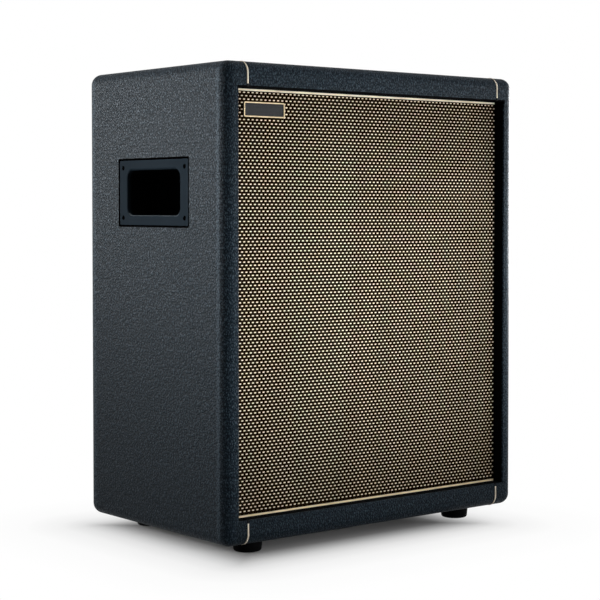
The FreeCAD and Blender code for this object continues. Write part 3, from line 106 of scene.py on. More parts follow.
# Screws: pan heads have a radius, a rise, a shank's radius and a length, sunk heads have no rise
PAN_SCREWS = {
    "back_screws": (4 * MM, 2.4 * MM, 2 * MM, 20 * MM),
    "jack_dish_screws": (3 * MM, 1.2 * MM, 1.3 * MM, 10 * MM),
}
PAN_SHARES = ((1, 0), (1, 0.35), (0.93, 0.7), (0.75, 0.92), (0.5, 1))
SUNK_SCREW = (2.3 * MM, 1.3 * MM, 10 * MM)
SUNK_RIM = 0.15 * MM
CROSS_TOP_SHARES = (0.62, 0.13)
CROSS_LOW_SHARES = (0.30, 0.09)
CROSS_DEPTH_SHARE = 0.5
SCREW_SEGMENTS = 28
SCREW_REACH = 25 * MM
SCREW_TURN = 37
X_AXIS, Y_AXIS = 0, 1

# Suspension of the cone: each ring with what moves inside it, and the share of its width that bends
BENDING_RINGS = {"driver_surround": ("driver_cone", 0.5), "driver_spider": ("voice_coil_former", 0.85)}
RING_GAP = 0.3 * MM
RING_STEPS = 120

# Looks: a noise is a scale and a detail, a relief is a depth and a strength, tones are stops of a ramp
NOISE_SPAN = (0.3, 0.7)
NOISE_MIDDLE = (0.5, 0.5, 0.5)
WAVE_SPAN = (-1, 1)

# Vinyl covering
VINYL_PIT = (0.0022, 0.0035, 0.0052)
VINYL_TONES = ((0.28, VINYL_PIT), (0.60, (0.0048, 0.0090, 0.0140)), (0.90, (0.039, 0.057, 0.074)))
VINYL_SHEEN = (0.70, 0.90, 1.0)
VINYL_SPECULAR = 0.045
VINYL_ROUGHNESS = (0.60, 0.42)
VINYL_RELIEF = (0.62 * MM, 0.9)
RECESS_BLACK = (0.0006, 0.0006, 0.0007)
GRAIN_ACROSS = 560
GRAIN_ALONG = 330
GRAIN_ON_SIDES = 0.76
LEVEL_SLOPE = math.cos(math.radians(45))
WANDER_NOISE = (260, 2.0)
WANDER_REACH = 0.5
PEBBLE_EDGE = 0.32
PEBBLE_SHARE = 0.4
FLECK_NOISE = (1.0, 1.0)
FLECK_STRETCH = (1.15, 0.78, 1.0)
FLECK_SHARE = 1.4
HEIGHT_SPAN = (0.2, 1.3)
TONE_SHARE = 0.66

# Places on the covering with painted light: a highlight where the sides start to round, and shade below the
# grille, in its recess, round the handles and beside the piping
EDGE_ROUND = 11.2 * MM
# A painted highlight where the sides start to round
EDGE_HIGHLIGHT_START = (6.0 * MM, 1.0 * MM)
EDGE_HIGHLIGHT_END = (-2.5 * MM, -0.5 * MM)
EDGE_HIGHLIGHT_SKIN = 1 * MM
EDGE_HIGHLIGHT_SHARE = 0.22
# Painted shade on the front strip below the grille
LOW_SHADE_TOP = 1 * MM
LOW_SHADE_FULL = -2 * MM
LOW_SHADE_FRONT = 2 * MM
LOW_SHADE_CORNER = 8 * MM
LOW_SHADE_SHARE = 0.35
# Painted black shade inside the grille's recess and on its top lip
LIP = 2.2 * MM
LIP_SOFT = 0.2 * MM
LIP_RISE = 2.0 * MM
TOP_LIP = CLOTH_HIGH.z + LIP_RISE
RECESS_START = 1.0 * MM
RECESS_FULL = 2.0 * MM
HANDLE_GAP = 1.5 * MM
# Painted black shade round the handles' gap
GAP_SHADE_WIDTH = 0.9 * MM
GAP_SHADE_SOFT = 0.4 * MM
# Painted shade beside the piping
SEAM_SHADE_NEAR = 1.1 * MM
SEAM_SHADE_FAR = 2.1 * MM
SEAM_SHADE_SHARE = 0.85

# Cream trim
CREAM_TONES = ((0.3, (0.74, 0.63, 0.48)), (0.6, (0.88, 0.79, 0.65)), (0.8, (0.93, 0.86, 0.74)))
CREAM_NOISE = (70, 3.0)
CREAM_ROUGHNESS = 0.6
CREAM_SPECULAR = 0.1
LAY_SLOPE = 1.4
LAY_LENGTH = 1.208305 * MM
LAY_RELIEF = (0.08 * MM, 0.6)
# Painted shade on the lower bead, darker and more golden
LOW_BEAD_SHADE = (0.70, 0.48, 0.25)
LOW_BEAD_SHADE_SHARE = 0.55
BEAD_MARGIN = 0.3 * MM
# Where the piping's painted black shade starts and is full
TUCK_START = 4.0 * MM
TUCK_FULL = 3.5 * MM
TUCK_CLEAR = 1 * MM
TUCK_FRONT = CLOTH_LOW.y - 2 * FLOAT_RISE - TUCK_CLEAR

# Cloth and its floats
GROUND_TONES = ((0.2, (0.0020, 0.0009, 0.0002)), (0.8, (0.0080, 0.0042, 0.0012)))
GROUND_ROUGHNESS = 0.9
GROUND_RELIEF = (0.12 * MM, 0.7)
FLOAT_TONES = ((0.0, (0.91, 0.865, 0.78)), (0.5, (0.94, 0.90, 0.82)), (1.0, (0.96, 0.925, 0.85)))
# Painted shade towards the foot of each float
FLOAT_FOOT_SHADE = (0.30, 0.17, 0.06)
FLOAT_ROUGHNESS = 0.75
FLOAT_SPECULAR = 0.03
FUZZ_NOISE = (4200, 2.0)
FUZZ_RELIEF = (0.06 * MM, 0.5)

# Moulded plastic of the handles and the jack dish
PLASTIC_TONES = ((0.3, (0.0104, 0.0172, 0.0242)), (0.7, (0.0124, 0.0200, 0.0276)))
PLASTIC_SPECULAR = 0.02
PLASTIC_ROUGHNESS = (0.72, 0.84)
PLASTIC_RELIEF = (0.04 * MM, 0.4)
SPARK_NOISE = (2600, 2.0)
BROAD_NOISE = (30, 3.0)
HANDLES_ASIDE = 130 * MM
POCKET_HALF = 20 * MM
# Painted black shade deeper in the handles' pockets
POCKET_DEPTHS = (1.5 * MM, 5.0 * MM)
POCKET_SHADE = (0.0003, 0.0003, 0.0004)
# A painted highlight along the lower lip of each handle's pocket
LIP_HIGHLIGHT_START = (0.15 * MM, 0.5 * MM)
LIP_HIGHLIGHT_END = (1.8 * MM, 1.2 * MM)
LIP_HIGHLIGHT_HEIGHT = 3 * MM
LIP_HIGHLIGHT_TONE = (0.16, 0.19, 0.21)
LIP_HIGHLIGHT_SHARE = 0.6

# Plywood
WOOD_TONES = ((0.25, (0.42, 0.27, 0.13)), (0.55, (0.62, 0.45, 0.26)), (0.8, (0.72, 0.56, 0.36)))
FIGURE_NOISE = (14, 5.0)
FIGURE_STRETCH = (1, 1, 9)
FIGURE_SHARE = 0.7
PORE_NOISE = (160, 3.0)
PORE_STRETCH = (1, 12, 12)
PORE_SHARE = 0.35
PORE_SPAN = (0.2, 0.8)
WOOD_ROUGHNESS = (0.75, 0.6)
WOOD_RELIEF = (0.1 * MM, 0.4)
STAIN_DEPTH = 9 * MM
STAIN_MARGIN = 1 * MM

# Copper turns
COPPER_TONES = ((0.1, (0.32, 0.10, 0.03)), (0.8, (0.85, 0.38, 0.16)))
COPPER_ROUGHNESS = 0.32
COPPER_PITCH = 0.5 * MM
COPPER_RELIEF = (0.1 * MM, 0.8)

# Satin rim and enamel field of the plate
SATIN_TONES = ((0.35, (0.27, 0.215, 0.130)), (0.65, (0.36, 0.295, 0.190)))
SATIN_ROUGHNESS = (0.60, 0.50)
SATIN_SPECULAR = 0.1
SATIN_RELIEF = (0.015 * MM, 0.3)
BRUSH_NOISE = (2600, 3.0)
BRUSH_STRETCH = (0.06, 1, 1)
ENAMEL_TONES = ((0.3, (0.0035, 0.0040, 0.0050)), (0.7, (0.0065, 0.0072, 0.0085)))
ENAMEL_NOISE = (900, 3.0)
ENAMEL_SINK_SHARES = (0.45, 0.8)


class Finish(NamedTuple):
    """A plain finish: its two tones, the scale and depth of its specks, and how it shines."""

    name: str
    dark: tuple
    light: tuple
    scale: float
    depth: float
    roughness: float
    metallic: float = 0.0
    specular: float = 0.5


# Plain finishes
SPECK_DETAIL = 4.0
SPECK_GLOSS = 0.06
SPECK_STRENGTH = 0.5
PLAIN_FINISHES = {
    "hook_and_loop": Finish(
        "hook_pile", (0.004, 0.004, 0.005), (0.03, 0.03, 0.032),
        scale=3000, depth=0.4 * MM, roughness=0.9,
    ),
    "foot_rubber": Finish(
        "black_rubber", (0.0012, 0.0012, 0.0014), (0.0030, 0.0030, 0.0034),
        scale=700, depth=0.08 * MM, roughness=0.8, specular=0.03,
    ),
    "black_screw": Finish(
        "blacked_steel", (0.0006, 0.0006, 0.0007), (0.0014, 0.0015, 0.0017),
        scale=1500, depth=0.02 * MM, roughness=0.85, specular=0.0,
    ),
    "zinc_steel": Finish(
        "zinc_plate", (0.42, 0.43, 0.45), (0.60, 0.61, 0.62),
        scale=900, depth=0.02 * MM, roughness=0.34, metallic=1.0,
    ),
    "basket_enamel": Finish(
        "basket_enamel", (0.02, 0.02, 0.022), (0.035, 0.035, 0.038),
        scale=260, depth=0.05 * MM, roughness=0.4,
    ),
    "ferrite": Finish(
        "ferrite_ring", (0.035, 0.034, 0.034), (0.07, 0.068, 0.066),
        scale=420, depth=0.1 * MM, roughness=0.7,
    ),
    "cone_paper": Finish(
        "cone_paper", (0.010, 0.010, 0.011), (0.03, 0.03, 0.031),
        scale=800, depth=0.2 * MM, roughness=0.85,
    ),
    "treated_cloth": Finish(
        "treated_cloth", (0.03, 0.022, 0.014), (0.10, 0.07, 0.04),
        scale=1300, depth=0.2 * MM, roughness=0.6,
    ),
    "fibre": Finish(
        "fibre_board", (0.12, 0.05, 0.02), (0.22, 0.10, 0.04),
        scale=500, depth=0.05 * MM, roughness=0.6,
    ),
    "tinned_brass": Finish(
        "tinned_brass", (0.58, 0.55, 0.47), (0.75, 0.72, 0.64),
        scale=600, depth=0.02 * MM, roughness=0.3, metallic=1.0,
    ),
    "red_insulation": Finish(
        "red_insulation", (0.30, 0.012, 0.010), (0.42, 0.02, 0.015),
        scale=300, depth=0.02 * MM, roughness=0.4,
    ),
    "black_insulation": Finish(
        "black_insulation", (0.008, 0.008, 0.008), (0.018, 0.018, 0.018),
        scale=300, depth=0.02 * MM, roughness=0.4,
    ),
}

# Floor: its white glow grows with the distance from the middle of the shadow, as shares of a reach in
# metres; this paints the soft edge of the cabinet's shadow
FLOOR_HALF = 40.0
FLOOR_PAINT = (0.45, 0.45, 0.45)
FLOOR_REACH = (-0.05, 0.15)
FLOOR_WHITE_SHARES = (
    (0.0, 0.0),
    (0.10, 0.06),
    (0.19, 0.29),
    (0.27, 0.555),
    (0.35, 0.74),
    (0.46, 0.875),
    (0.65, 0.967),
    (1.0, 1.0),
)
# Middle and inset of the rectangle that shapes the painted shadow edge
SHADOW_CENTRE = (-25 * MM, -9 * MM)
SHADOW_INSET = 35 * MM

# Light: a softbox has a place, an aim, a width and height, the spread of its beam in degrees, and watts
WHITE = (1.0, 1.0, 1.0)
AMBIENT = 0.05
SOFTBOXES = {
    "overhead": ((0.0, 0.0, 1.8), (0, 0, 0), (1.6, 1.6), 180, 5),
    "left": ((-1.50, 1.90, 0.62), (-0.19, -0.16, 0.40), (0.4, 0.4), 18, 0.66),
    "left_far": ((-2.60, 2.60, 0.80), (-0.19, -0.18, 0.40), (0.5, 0.5), 14, 1.02),
    "left_long": ((-1.40, 4.00, 0.70), (-0.19, -0.17, 0.44), (0.5, 0.5), 11, 0.12),
    "front": ((0.50, -1.25, 0.34), (-0.14, -0.12, 0.27), (0.3, 0.3), 30, 0.76),
    "front_right": ((0.75, -1.15, 0.34), (0.14, -0.12, 0.25), (0.3, 0.3), 28, 0.47),
    "right_rear": ((0.90, 0.10, 0.38), (0.19, -0.06, 0.32), (0.3, 0.3), 60, 1.9),
    "right": ((1.00, -0.40, 0.40), (0.19, -0.1, 0.34), (0.3, 0.3), 42, 0.36),
}

# Camera of the photograph, whose frame is square
LENS = 98.63
SENSOR = 36
SHIFT = (0.0, -0.0605)
CLIP = (0.05, 200)
CAMERA_PLACE = (-1.0880, -1.3427, 0.3312)
CAMERA_YAW = 38.874
CAMERA_DOWN = 1.987


# Tools for the looks


class Look:
    """A material under construction: its node tree and its one shader."""

    def __init__(self, name, **values):
        self.material = bpy.data.materials.new(name)
        self.material.use_nodes = True
        self.tree = self.material.node_tree
        self.shader = self.tree.nodes["Principled BSDF"]
        for socket, value in values.items():
            self.feed(self.shader.inputs[socket.replace("_", " ")], value)
        self.place = self.add("TexCoord").outputs["Object"]

    def feed(self, socket, value):
        """Links a socket to another one, or sets its value."""
        if isinstance(value, bpy.types.NodeSocket):
            self.tree.links.new(value, socket)
        else:
            socket.default_value = value

    def add(self, kind, inputs=None, **settings):
        """A node of this kind, with its settings made and its inputs fed."""
        made = self.tree.nodes.new(f"ShaderNode{kind}")
        for key, value in settings.items():
            setattr(made, key, value)
        for key, value in (inputs or {}).items():
            self.feed(made.inputs[key], value)
        return made

    def math(self, operation, first, second=0.0, third=0.0):
        made = self.add("Math", {0: first, 1: second, 2: third}, operation=operation)
        return made.outputs[0]

    def vector_math(self, operation, inputs):
        return self.add("VectorMath", inputs, operation=operation).outputs[0]

    def product(self, first, *others):
        """All the values multiplied."""
        for other in others:
            first = self.math("MULTIPLY", first, other)
        return first

    def largest(self, first, *others):
        for other in others:
            first = self.math("MAXIMUM", first, other)
        return first

    def apart(self, value, middle):
        """How far a value is from a middle, to either side."""
        return self.math("ABSOLUTE", self.math("SUBTRACT", value, middle))

    def counted(self, value, start, pitch):
        """Which step of an even pattern a value is nearest to."""
        return self.math("ROUND", self.math("DIVIDE", self.math("SUBTRACT", value, start), pitch))

    def wave(self, value, length):
        return self.math("SINE", self.math("MULTIPLY", value, 2 * math.pi / length))

    def stretched(self, scale):
        return self.add("Mapping", {"Vector": self.place, "Scale": scale}).outputs[0]

    def axes(self):
        return self.add("SeparateXYZ", {0: self.place}).outputs

    def noise(self, scale, detail, vector=None):
        made = self.add("TexNoise", {"Scale": scale, "Detail": detail})
        self.feed(made.inputs["Vector"], self.place if vector is None else vector)
        return made.outputs

    def ramp(self, factor, *stops):
        """A colour that follows the factor through (place, colour) stops."""
        made = self.add("ValToRGB", {0: factor})
        points = made.color_ramp.elements
        for index, (place, colour) in enumerate(stops):
            point = points[index] if index < len(points) else points.new(place)
            point.position = place
            point.color = rgba(colour)
        return made.outputs[0]

    def span(self, value, low, high, to_low=0.0, to_high=1.0, smooth=False):
        """The value's way from low to high, as a way between two other values."""
        kind = "SMOOTHSTEP" if smooth else "LINEAR"
        inputs = {"Value": value, "From Min": low, "From Max": high, "To Min": to_low, "To Max": to_high}
        return self.add("MapRange", inputs, interpolation_type=kind).outputs[0]

    def blend(self, factor, first, second):
        """A mix of two colours, which a Mix node takes in its sockets 6 and 7 and gives in its socket 2."""
        made = self.add("Mix", {0: factor, 6: first, 7: second}, data_type="RGBA")
        return made.outputs[2]

    def colour(self, value):
        self.feed(self.shader.inputs["Base Color"], value)

    def rough(self, value):
        self.feed(self.shader.inputs["Roughness"], value)

    def bump(self, height, depth, strength):
        made = self.add("Bump", {"Strength": strength, "Distance": depth, "Height": height})
        self.feed(self.shader.inputs["Normal"], made.outputs[0])


def rgba(colour):
    return (*colour, 1.0)


def outline_distance(look, first, second, half_first, half_second):
    """How far a point lies outside a rectangle in the plane of two coordinates, negative inside it."""
    over_first = look.math("SUBTRACT", look.math("ABSOLUTE", first), half_first)
    over_second = look.math("SUBTRACT", look.math("ABSOLUTE", second), half_second)
    out_first = look.math("POWER", look.math("MAXIMUM", over_first, 0.0), 2)
    out_second = look.math("POWER", look.math("MAXIMUM", over_second, 0.0), 2)
    inside = look.math("MINIMUM", look.math("MAXIMUM", over_first, over_second), 0.0)
    return look.math("ADD", look.math("SQRT", look.math("ADD", out_first, out_second)), inside)


# Vinyl: each mask is one in its place and zero elsewhere; the first marks a painted highlight, the rest
# painted shade


def painted_bend_highlight_mask(look):
    """Along the upright edges of the sides, where the covering starts to round: a painted highlight."""
    x, y, _ = look.axes()
    inward = look.math("SUBTRACT", CASE_HIGH.y - EDGE_ROUND, look.math("ABSOLUTE", y))
    start = look.span(inward, *EDGE_HIGHLIGHT_START, smooth=True)
    end = look.span(inward, *EDGE_HIGHLIGHT_END, smooth=True)
    on_side = look.math("GREATER_THAN", look.math("ABSOLUTE", x), CASE_HIGH.x - EDGE_HIGHLIGHT_SKIN)
    return look.product(start, end, on_side)


def painted_low_shade_mask(look):
    """On the strip of the front below the grille: painted shade, darker than the rest."""
    x, y, z = look.axes()
    below = look.span(z, CLOTH_LOW.z + LOW_SHADE_TOP, CLOTH_LOW.z + LOW_SHADE_FULL, smooth=True)
    ahead = look.span(y, CASE_LOW.y + EDGE_ROUND, CASE_LOW.y + LOW_SHADE_FRONT, smooth=True)
    inward = look.span(look.math("ABSOLUTE", x), CASE_HIGH.x - LOW_SHADE_CORNER, CLOTH_HIGH.x, smooth=True)
    return look.product(below, ahead, inward)


def painted_recess_shade_mask(look):
    """Inside the opening of the grille, behind its lip and on the round of its top lip: painted black
    shade.
    """
    x, y, z = look.axes()
    behind = look.span(y, CASE_LOW.y + RECESS_START, CASE_LOW.y + RECESS_FULL, smooth=True)
    on_lip = look.span(z, TOP_LIP + LIP_SOFT, TOP_LIP - LIP_SOFT)
    above = look.math("GREATER_THAN", z, CLOTH_HIGH.z - LIP)
    deep = look.largest(behind, look.product(on_lip, above))
    across = look.math("LESS_THAN", look.math("ABSOLUTE", x), CLOTH_HIGH.x + LIP)
    upright = look.math("LESS_THAN", look.apart(z, CENTRE.z), CLOTH_HALF_Z + LIP)
    ahead = look.math("LESS_THAN", y, CENTRE.y + CLOTH_EDGE)
    return look.product(across, upright, ahead, deep)


def painted_gap_shade_mask(look):
    """On the edge of the covering round the handles, where it rolls into the gap: painted black shade."""
    x, y, z = look.axes()
    rise = look.math("SUBTRACT", z, HANDLE_LEVEL)
    reach = HANDLE_GAP + GAP_SHADE_WIDTH
    beyond = outline_distance(look, y, rise, HANDLE_HALF.y, HANDLE_HALF.z)
    near = look.span(beyond, reach, reach - GAP_SHADE_SOFT)
    on_side = look.math("GREATER_THAN", look.math("ABSOLUTE", x), CASE_HIGH.x - reach)
    return look.product(near, on_side)


def painted_seam_shade_mask(look):
    """Where the covering dips into the seam on both sides of the piping: painted shade."""
    x, _, z = look.axes()
    aside = look.apart(look.math("ABSOLUTE", x), PIPING_ASIDE)
    near = look.span(aside, SEAM_SHADE_FAR, SEAM_SHADE_NEAR, smooth=True)
    on_panel = look.math("GREATER_THAN", look.apart(z, CENTRE.z), CLOTH_HALF_Z)
    return look.product(near, on_panel)


def grain_place(look):
    """Flat coordinates of the grain: round the case and up on its walls, across and back where level."""
    x, y, z = look.axes()
    normal = look.add("SeparateXYZ", {0: look.add("NewGeometry").outputs["Normal"]}).outputs
    level = look.math("GREATER_THAN", look.math("ABSOLUTE", normal[2]), LEVEL_SLOPE)
    round_case = look.math("SUBTRACT", x, look.math("MULTIPLY", y, GRAIN_ON_SIDES))
    across = look.span(level, 0, 1, round_case, x)
    along = look.span(level, 0, 1, z, y)
    scaled = {0: look.product(across, GRAIN_ACROSS), 1: look.product(along, GRAIN_ALONG)}
    return look.add("CombineXYZ", scaled).outputs[0]


def grain_height(look):
    """Upright wrinkles: soft pebbles between creases, with flecks over them."""
    push = look.vector_math("SUBTRACT", {0: look.noise(*WANDER_NOISE)["Color"], 1: NOISE_MIDDLE})
    shift = look.vector_math("SCALE", {0: push, "Scale": WANDER_REACH})
    grain = grain_place(look)
    spread = {"Vector": look.vector_math("ADD", {0: grain, 1: shift}), "Scale": 1.0}
    cells = look.add("TexVoronoi", spread, feature="DISTANCE_TO_EDGE", voronoi_dimensions="2D")
    crest = look.span(cells.outputs["Distance"], 0.0, PEBBLE_EDGE, smooth=True)
    upright = look.vector_math("MULTIPLY", {0: grain, 1: FLECK_STRETCH})
    fleck = look.noise(*FLECK_NOISE, upright)["Fac"]
    return look.math("MULTIPLY_ADD", fleck, FLECK_SHARE, look.product(crest, PEBBLE_SHARE))


def vinyl_look():
    """Levant-grained vinyl with pale crests and dark pits, a painted highlight along the upright edges of
    the sides, and painted shade: darker below the grille, black inside the grille's recess and gaps and
    beside the piping.
    """
    look = Look("vinyl_levant", Specular_IOR_Level=VINYL_SPECULAR, Specular_Tint=rgba(VINYL_SHEEN))
    height = grain_height(look)
    # The tone is lifted by a painted highlight along the upright edges of the sides.
    tone = look.math("MULTIPLY_ADD", height, TONE_SHARE, look.product(painted_bend_highlight_mask(look), EDGE_HIGHLIGHT_SHARE))
    face = look.ramp(tone, *VINYL_TONES)
    # Painted shade darkens the strip below the grille towards the pit tone.
    low_shaded = look.blend(look.product(painted_low_shade_mask(look), LOW_SHADE_SHARE), face, rgba(VINYL_PIT))
    seam = look.product(painted_seam_shade_mask(look), SEAM_SHADE_SHARE)
    # Painted black shade in the grille's recess, round the handles' gaps and beside the piping.
    inside = look.largest(painted_recess_shade_mask(look), painted_gap_shade_mask(look), seam)
    look.colour(look.blend(inside, low_shaded, rgba(RECESS_BLACK)))
    look.rough(look.largest(look.span(height, *HEIGHT_SPAN, *VINYL_ROUGHNESS), inside))
    look.bump(height, *VINYL_RELIEF)
    return look.material


# Trim, cloth and plastic


def painted_tuck_shade_mask(look):
    """Where the piping turns in over the lip of the opening: painted black shade."""
    _, y, z = look.axes()
    end = look.span(look.apart(z, CENTRE.z), CLOTH_HALF_Z + TUCK_START, CLOTH_HALF_Z + TUCK_FULL)
    return look.product(end, look.math("LESS_THAN", y, TUCK_FRONT))


def low_bead_mask(look):
    """On the bead along the bottom of the cloth, and not on the other trim: where its painted shade goes.
    """
    _, y, z = look.axes()
    low, high = BEAD_BOTTOM
    rise = look.apart(z, (low.z + high.z) / 2)
    level = look.math("LESS_THAN", rise, (high.z - low.z) / 2 + BEAD_MARGIN)
    return look.product(level, look.math("GREATER_THAN", y, low.y - BEAD_MARGIN))


def trim_look():
    """Cream cord with the lay of its strands, with painted shade that makes the lower bead more golden, and
    black where the piping turns in.
    """
    look = Look("cream_cord", Roughness=CREAM_ROUGHNESS, Specular_IOR_Level=CREAM_SPECULAR)
    x, y, z = look.axes()
    along = look.math("ADD", look.math("ADD", x, y), look.product(z, LAY_SLOPE))
    cream = look.ramp(look.noise(*CREAM_NOISE)["Fac"], *CREAM_TONES)
    # Painted shade on the lower bead.
    low_bead_shaded = look.blend(look.product(low_bead_mask(look), LOW_BEAD_SHADE_SHARE), cream, rgba(LOW_BEAD_SHADE))
    # The piping is painted black shade where it turns in over the lip.
    look.colour(look.blend(painted_tuck_shade_mask(look), low_bead_shaded, rgba(RECESS_BLACK)))
    look.bump(look.wave(along, LAY_LENGTH), *LAY_RELIEF)
    return look.material


def cloth_look():
    """The black ground of the grille cloth, in plain weave."""
    look = Look("cloth_ground", Roughness=GROUND_ROUGHNESS, Specular_IOR_Level=0.0)
    x, _, z = look.axes()
    warp = look.wave(x, COLUMN_PITCH / YARNS_PER_COLUMN)
    weft = look.wave(z, ROW_PITCH / YARNS_PER_ROW)
    weave = look.product(warp, weft)
    look.colour(look.ramp(look.span(weave, *WAVE_SPAN), *GROUND_TONES))
    look.bump(weave, *GROUND_RELIEF)
    return look.material


def float_look():
    """Cream yarn that floats over the ground, each float a little different, with painted shade that makes
    it browner at its foot.
    """
    look = Look("cloth_floats", Roughness=FLOAT_ROUGHNESS, Specular_IOR_Level=FLOAT_SPECULAR)
    x, y, z = look.axes()
    column = look.counted(x, PATTERN_SHIFT[0], COLUMN_PITCH / 2)
    row = look.counted(z, CENTRE.z + PATTERN_SHIFT[1], ROW_PITCH)
    cell = look.add("CombineXYZ", {0: column, 1: row}).outputs[0]
    chance = look.add("TexWhiteNoise", {"Vector": cell}, noise_dimensions="3D").outputs["Value"]
    depth = look.span(y, CLOTH_LOW.y - FLOAT_RISE, CLOTH_LOW.y, smooth=True)
    # Painted shade turns each float browner towards its foot.
    look.colour(look.blend(depth, look.ramp(chance, *FLOAT_TONES), rgba(FLOAT_FOOT_SHADE)))
    strands = look.wave(z, FLOAT_WIDTH / FLOAT_STRANDS)
    look.bump(look.math("ADD", strands, look.noise(*FUZZ_NOISE)["Fac"]), *FUZZ_RELIEF)
    return look.material


def painted_lip_highlight_mask(look, depth):
    """Along the lower lip of the handle's pocket: a painted highlight."""
    _, _, z = look.axes()
    lip = HANDLE_LEVEL - POCKET_HALF
    below = look.math("LESS_THAN", z, lip)
    near = look.math("GREATER_THAN", z, lip - LIP_HIGHLIGHT_HEIGHT)
    return look.product(look.span(depth, *LIP_HIGHLIGHT_START), look.span(depth, *LIP_HIGHLIGHT_END), below, near)


def plastic_look():
    """Moulded dark plastic with a fine sparked texture, a painted highlight on the pockets' lower lip, and
    painted black shade down in the pockets.
    """
    look = Look("moulded_plastic", Specular_IOR_Level=PLASTIC_SPECULAR, Specular_Tint=rgba(VINYL_SHEEN))
    grain = look.noise(*SPARK_NOISE)["Fac"]
    face = look.ramp(look.noise(*BROAD_NOISE)["Fac"], *PLASTIC_TONES)
    x, _, _ = look.axes()
    outward = look.math("ABSOLUTE", x)
    depth = look.math("SUBTRACT", HANDLE_HIGH.x, outward)
    handle = look.math("GREATER_THAN", outward, HANDLES_ASIDE)
    # A painted highlight on the pocket's lower lip.
    lip_highlight = look.product(handle, painted_lip_highlight_mask(look, depth), LIP_HIGHLIGHT_SHARE)
    # Painted black shade deeper in the pocket.
    shade = look.product(look.span(depth, *POCKET_DEPTHS, smooth=True), handle)
    look.colour(look.blend(shade, look.blend(lip_highlight, face, rgba(LIP_HIGHLIGHT_TONE)), rgba(POCKET_SHADE)))
    look.rough(look.span(grain, *NOISE_SPAN, *PLASTIC_ROUGHNESS))
    look.bump(grain, *PLASTIC_RELIEF)
    return look.material


# Wood, metal and plain finishes


def plywood_look():
    """Birch plywood with bands of grain, stained black round the handles, at the front and at the back."""
    look = Look("birch_plywood", Specular_IOR_Level=0.0)
    figure = look.noise(*FIGURE_NOISE, look.stretched(FIGURE_STRETCH))["Fac"]
    pores = look.noise(*PORE_NOISE, look.stretched(PORE_STRETCH))["Fac"]
    tone = look.math("MULTIPLY_ADD", pores, PORE_SHARE, look.product(figure, FIGURE_SHARE))
    x, y, _ = look.axes()
    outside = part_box("right_side_panel")[1].x
    outer = look.math("GREATER_THAN", look.math("ABSOLUTE", x), outside - STAIN_DEPTH)
    front = look.math("LESS_THAN", y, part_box("baffle_board")[0].y + STAIN_MARGIN)
    rear = look.math("GREATER_THAN", y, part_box("back_panel")[0].y + STAIN_MARGIN)
    stained = look.largest(outer, front, rear)
    look.colour(look.blend(stained, look.ramp(tone, *WOOD_TONES), rgba(RECESS_BLACK)))
    look.rough(look.span(pores, *PORE_SPAN, *WOOD_ROUGHNESS))
    look.bump(pores, *WOOD_RELIEF)
    return look.material


def winding_look():
    """Enamelled copper turns."""
    look = Look("copper_turns", Metallic=1.0, Roughness=COPPER_ROUGHNESS)
    _, y, _ = look.axes()
    turns = look.wave(y, COPPER_PITCH)
    look.colour(look.ramp(look.span(turns, *WAVE_SPAN), *COPPER_TONES))
    look.bump(turns, *COPPER_RELIEF)
    return look.material


def plate_look():
    """Satin brass rim with fine brushing along its length, round a field of dark enamel."""
    look = Look("satin_plate", Specular_IOR_Level=SATIN_SPECULAR)
    brush = look.noise(*BRUSH_NOISE, look.stretched(BRUSH_STRETCH))["Fac"]
    satin = look.ramp(brush, *SATIN_TONES)
    enamel = look.ramp(look.noise(*ENAMEL_NOISE)["Fac"], *ENAMEL_TONES)
    _, y, _ = look.axes()
    sunk = look.span(y, *(PLATE_FACE + share * PLATE_SINK for share in ENAMEL_SINK_SHARES), smooth=True)
    look.colour(look.blend(sunk, satin, enamel))
    look.feed(look.shader.inputs["Metallic"], look.math("SUBTRACT", 1.0, sunk))
    look.rough(look.span(brush, *NOISE_SPAN, *SATIN_ROUGHNESS))
    look.bump(brush, *SATIN_RELIEF)
    return look.material


def speckled(finish):
    """A plain finish with fine variation in tone, gloss and height."""
    look = Look(finish.name, Metallic=finish.metallic, Specular_IOR_Level=finish.specular)
    speck = look.noise(finish.scale, SPECK_DETAIL)["Fac"]
    low, high = NOISE_SPAN
    look.colour(look.ramp(speck, (low, finish.dark), (high, finish.light)))
    dullest, glossiest = finish.roughness + SPECK_GLOSS, finish.roughness - SPECK_GLOSS
    look.rough(look.span(speck, low, high, dullest, glossiest))
    look.bump(speck, finish.depth, SPECK_STRENGTH)
    return look.material


def finishes():
    """One material for each slot of the record."""
    made = {
        "vinyl": vinyl_look(),
        "cream_trim": trim_look(),
        "grille_weave": cloth_look(),
        "plywood": plywood_look(),
        "black_plastic": plastic_look(),
        "copper": winding_look(),
    }
    for slot, finish in PLAIN_FINISHES.items():
        made[slot] = speckled(finish)
    return made


def dress_nodes(looks):
    """Gives each node the finish of its slot in the record."""
    for made in nodes.values():
        for slot in made.material_slots:
            slot.material = looks[slot.material.name.split(".")[0]]


# Tools for the pieces


def linked(name, data):
    """A new object in the scene."""
    made = bpy.data.objects.new(name, data)
    bpy.context.scene.collection.objects.link(made)
    return made


def new_mesh(name, points, edges, faces):
    mesh = bpy.data.meshes.new(name)
    mesh.from_pydata([tuple(point) for point in points], edges, [tuple(face) for face in faces])
    return mesh


def free_piece(name, points, edges, faces, material, smooth=True):
    """A mesh in the frame that rides on nothing yet."""
    mesh = new_mesh(name, points, edges, faces)
    mesh.polygons.foreach_set("use_smooth", [smooth] * len(mesh.polygons))
    mesh.validate()
    mesh.materials.append(material)
    made = linked(name, mesh)
    return made


def new_piece(name, points, faces, material, smooth=True):
    """A mesh in the frame, riding on the cabinet."""
    made = free_piece(name, points, [], faces, material, smooth)
    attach(made, "cabinet")
    return made


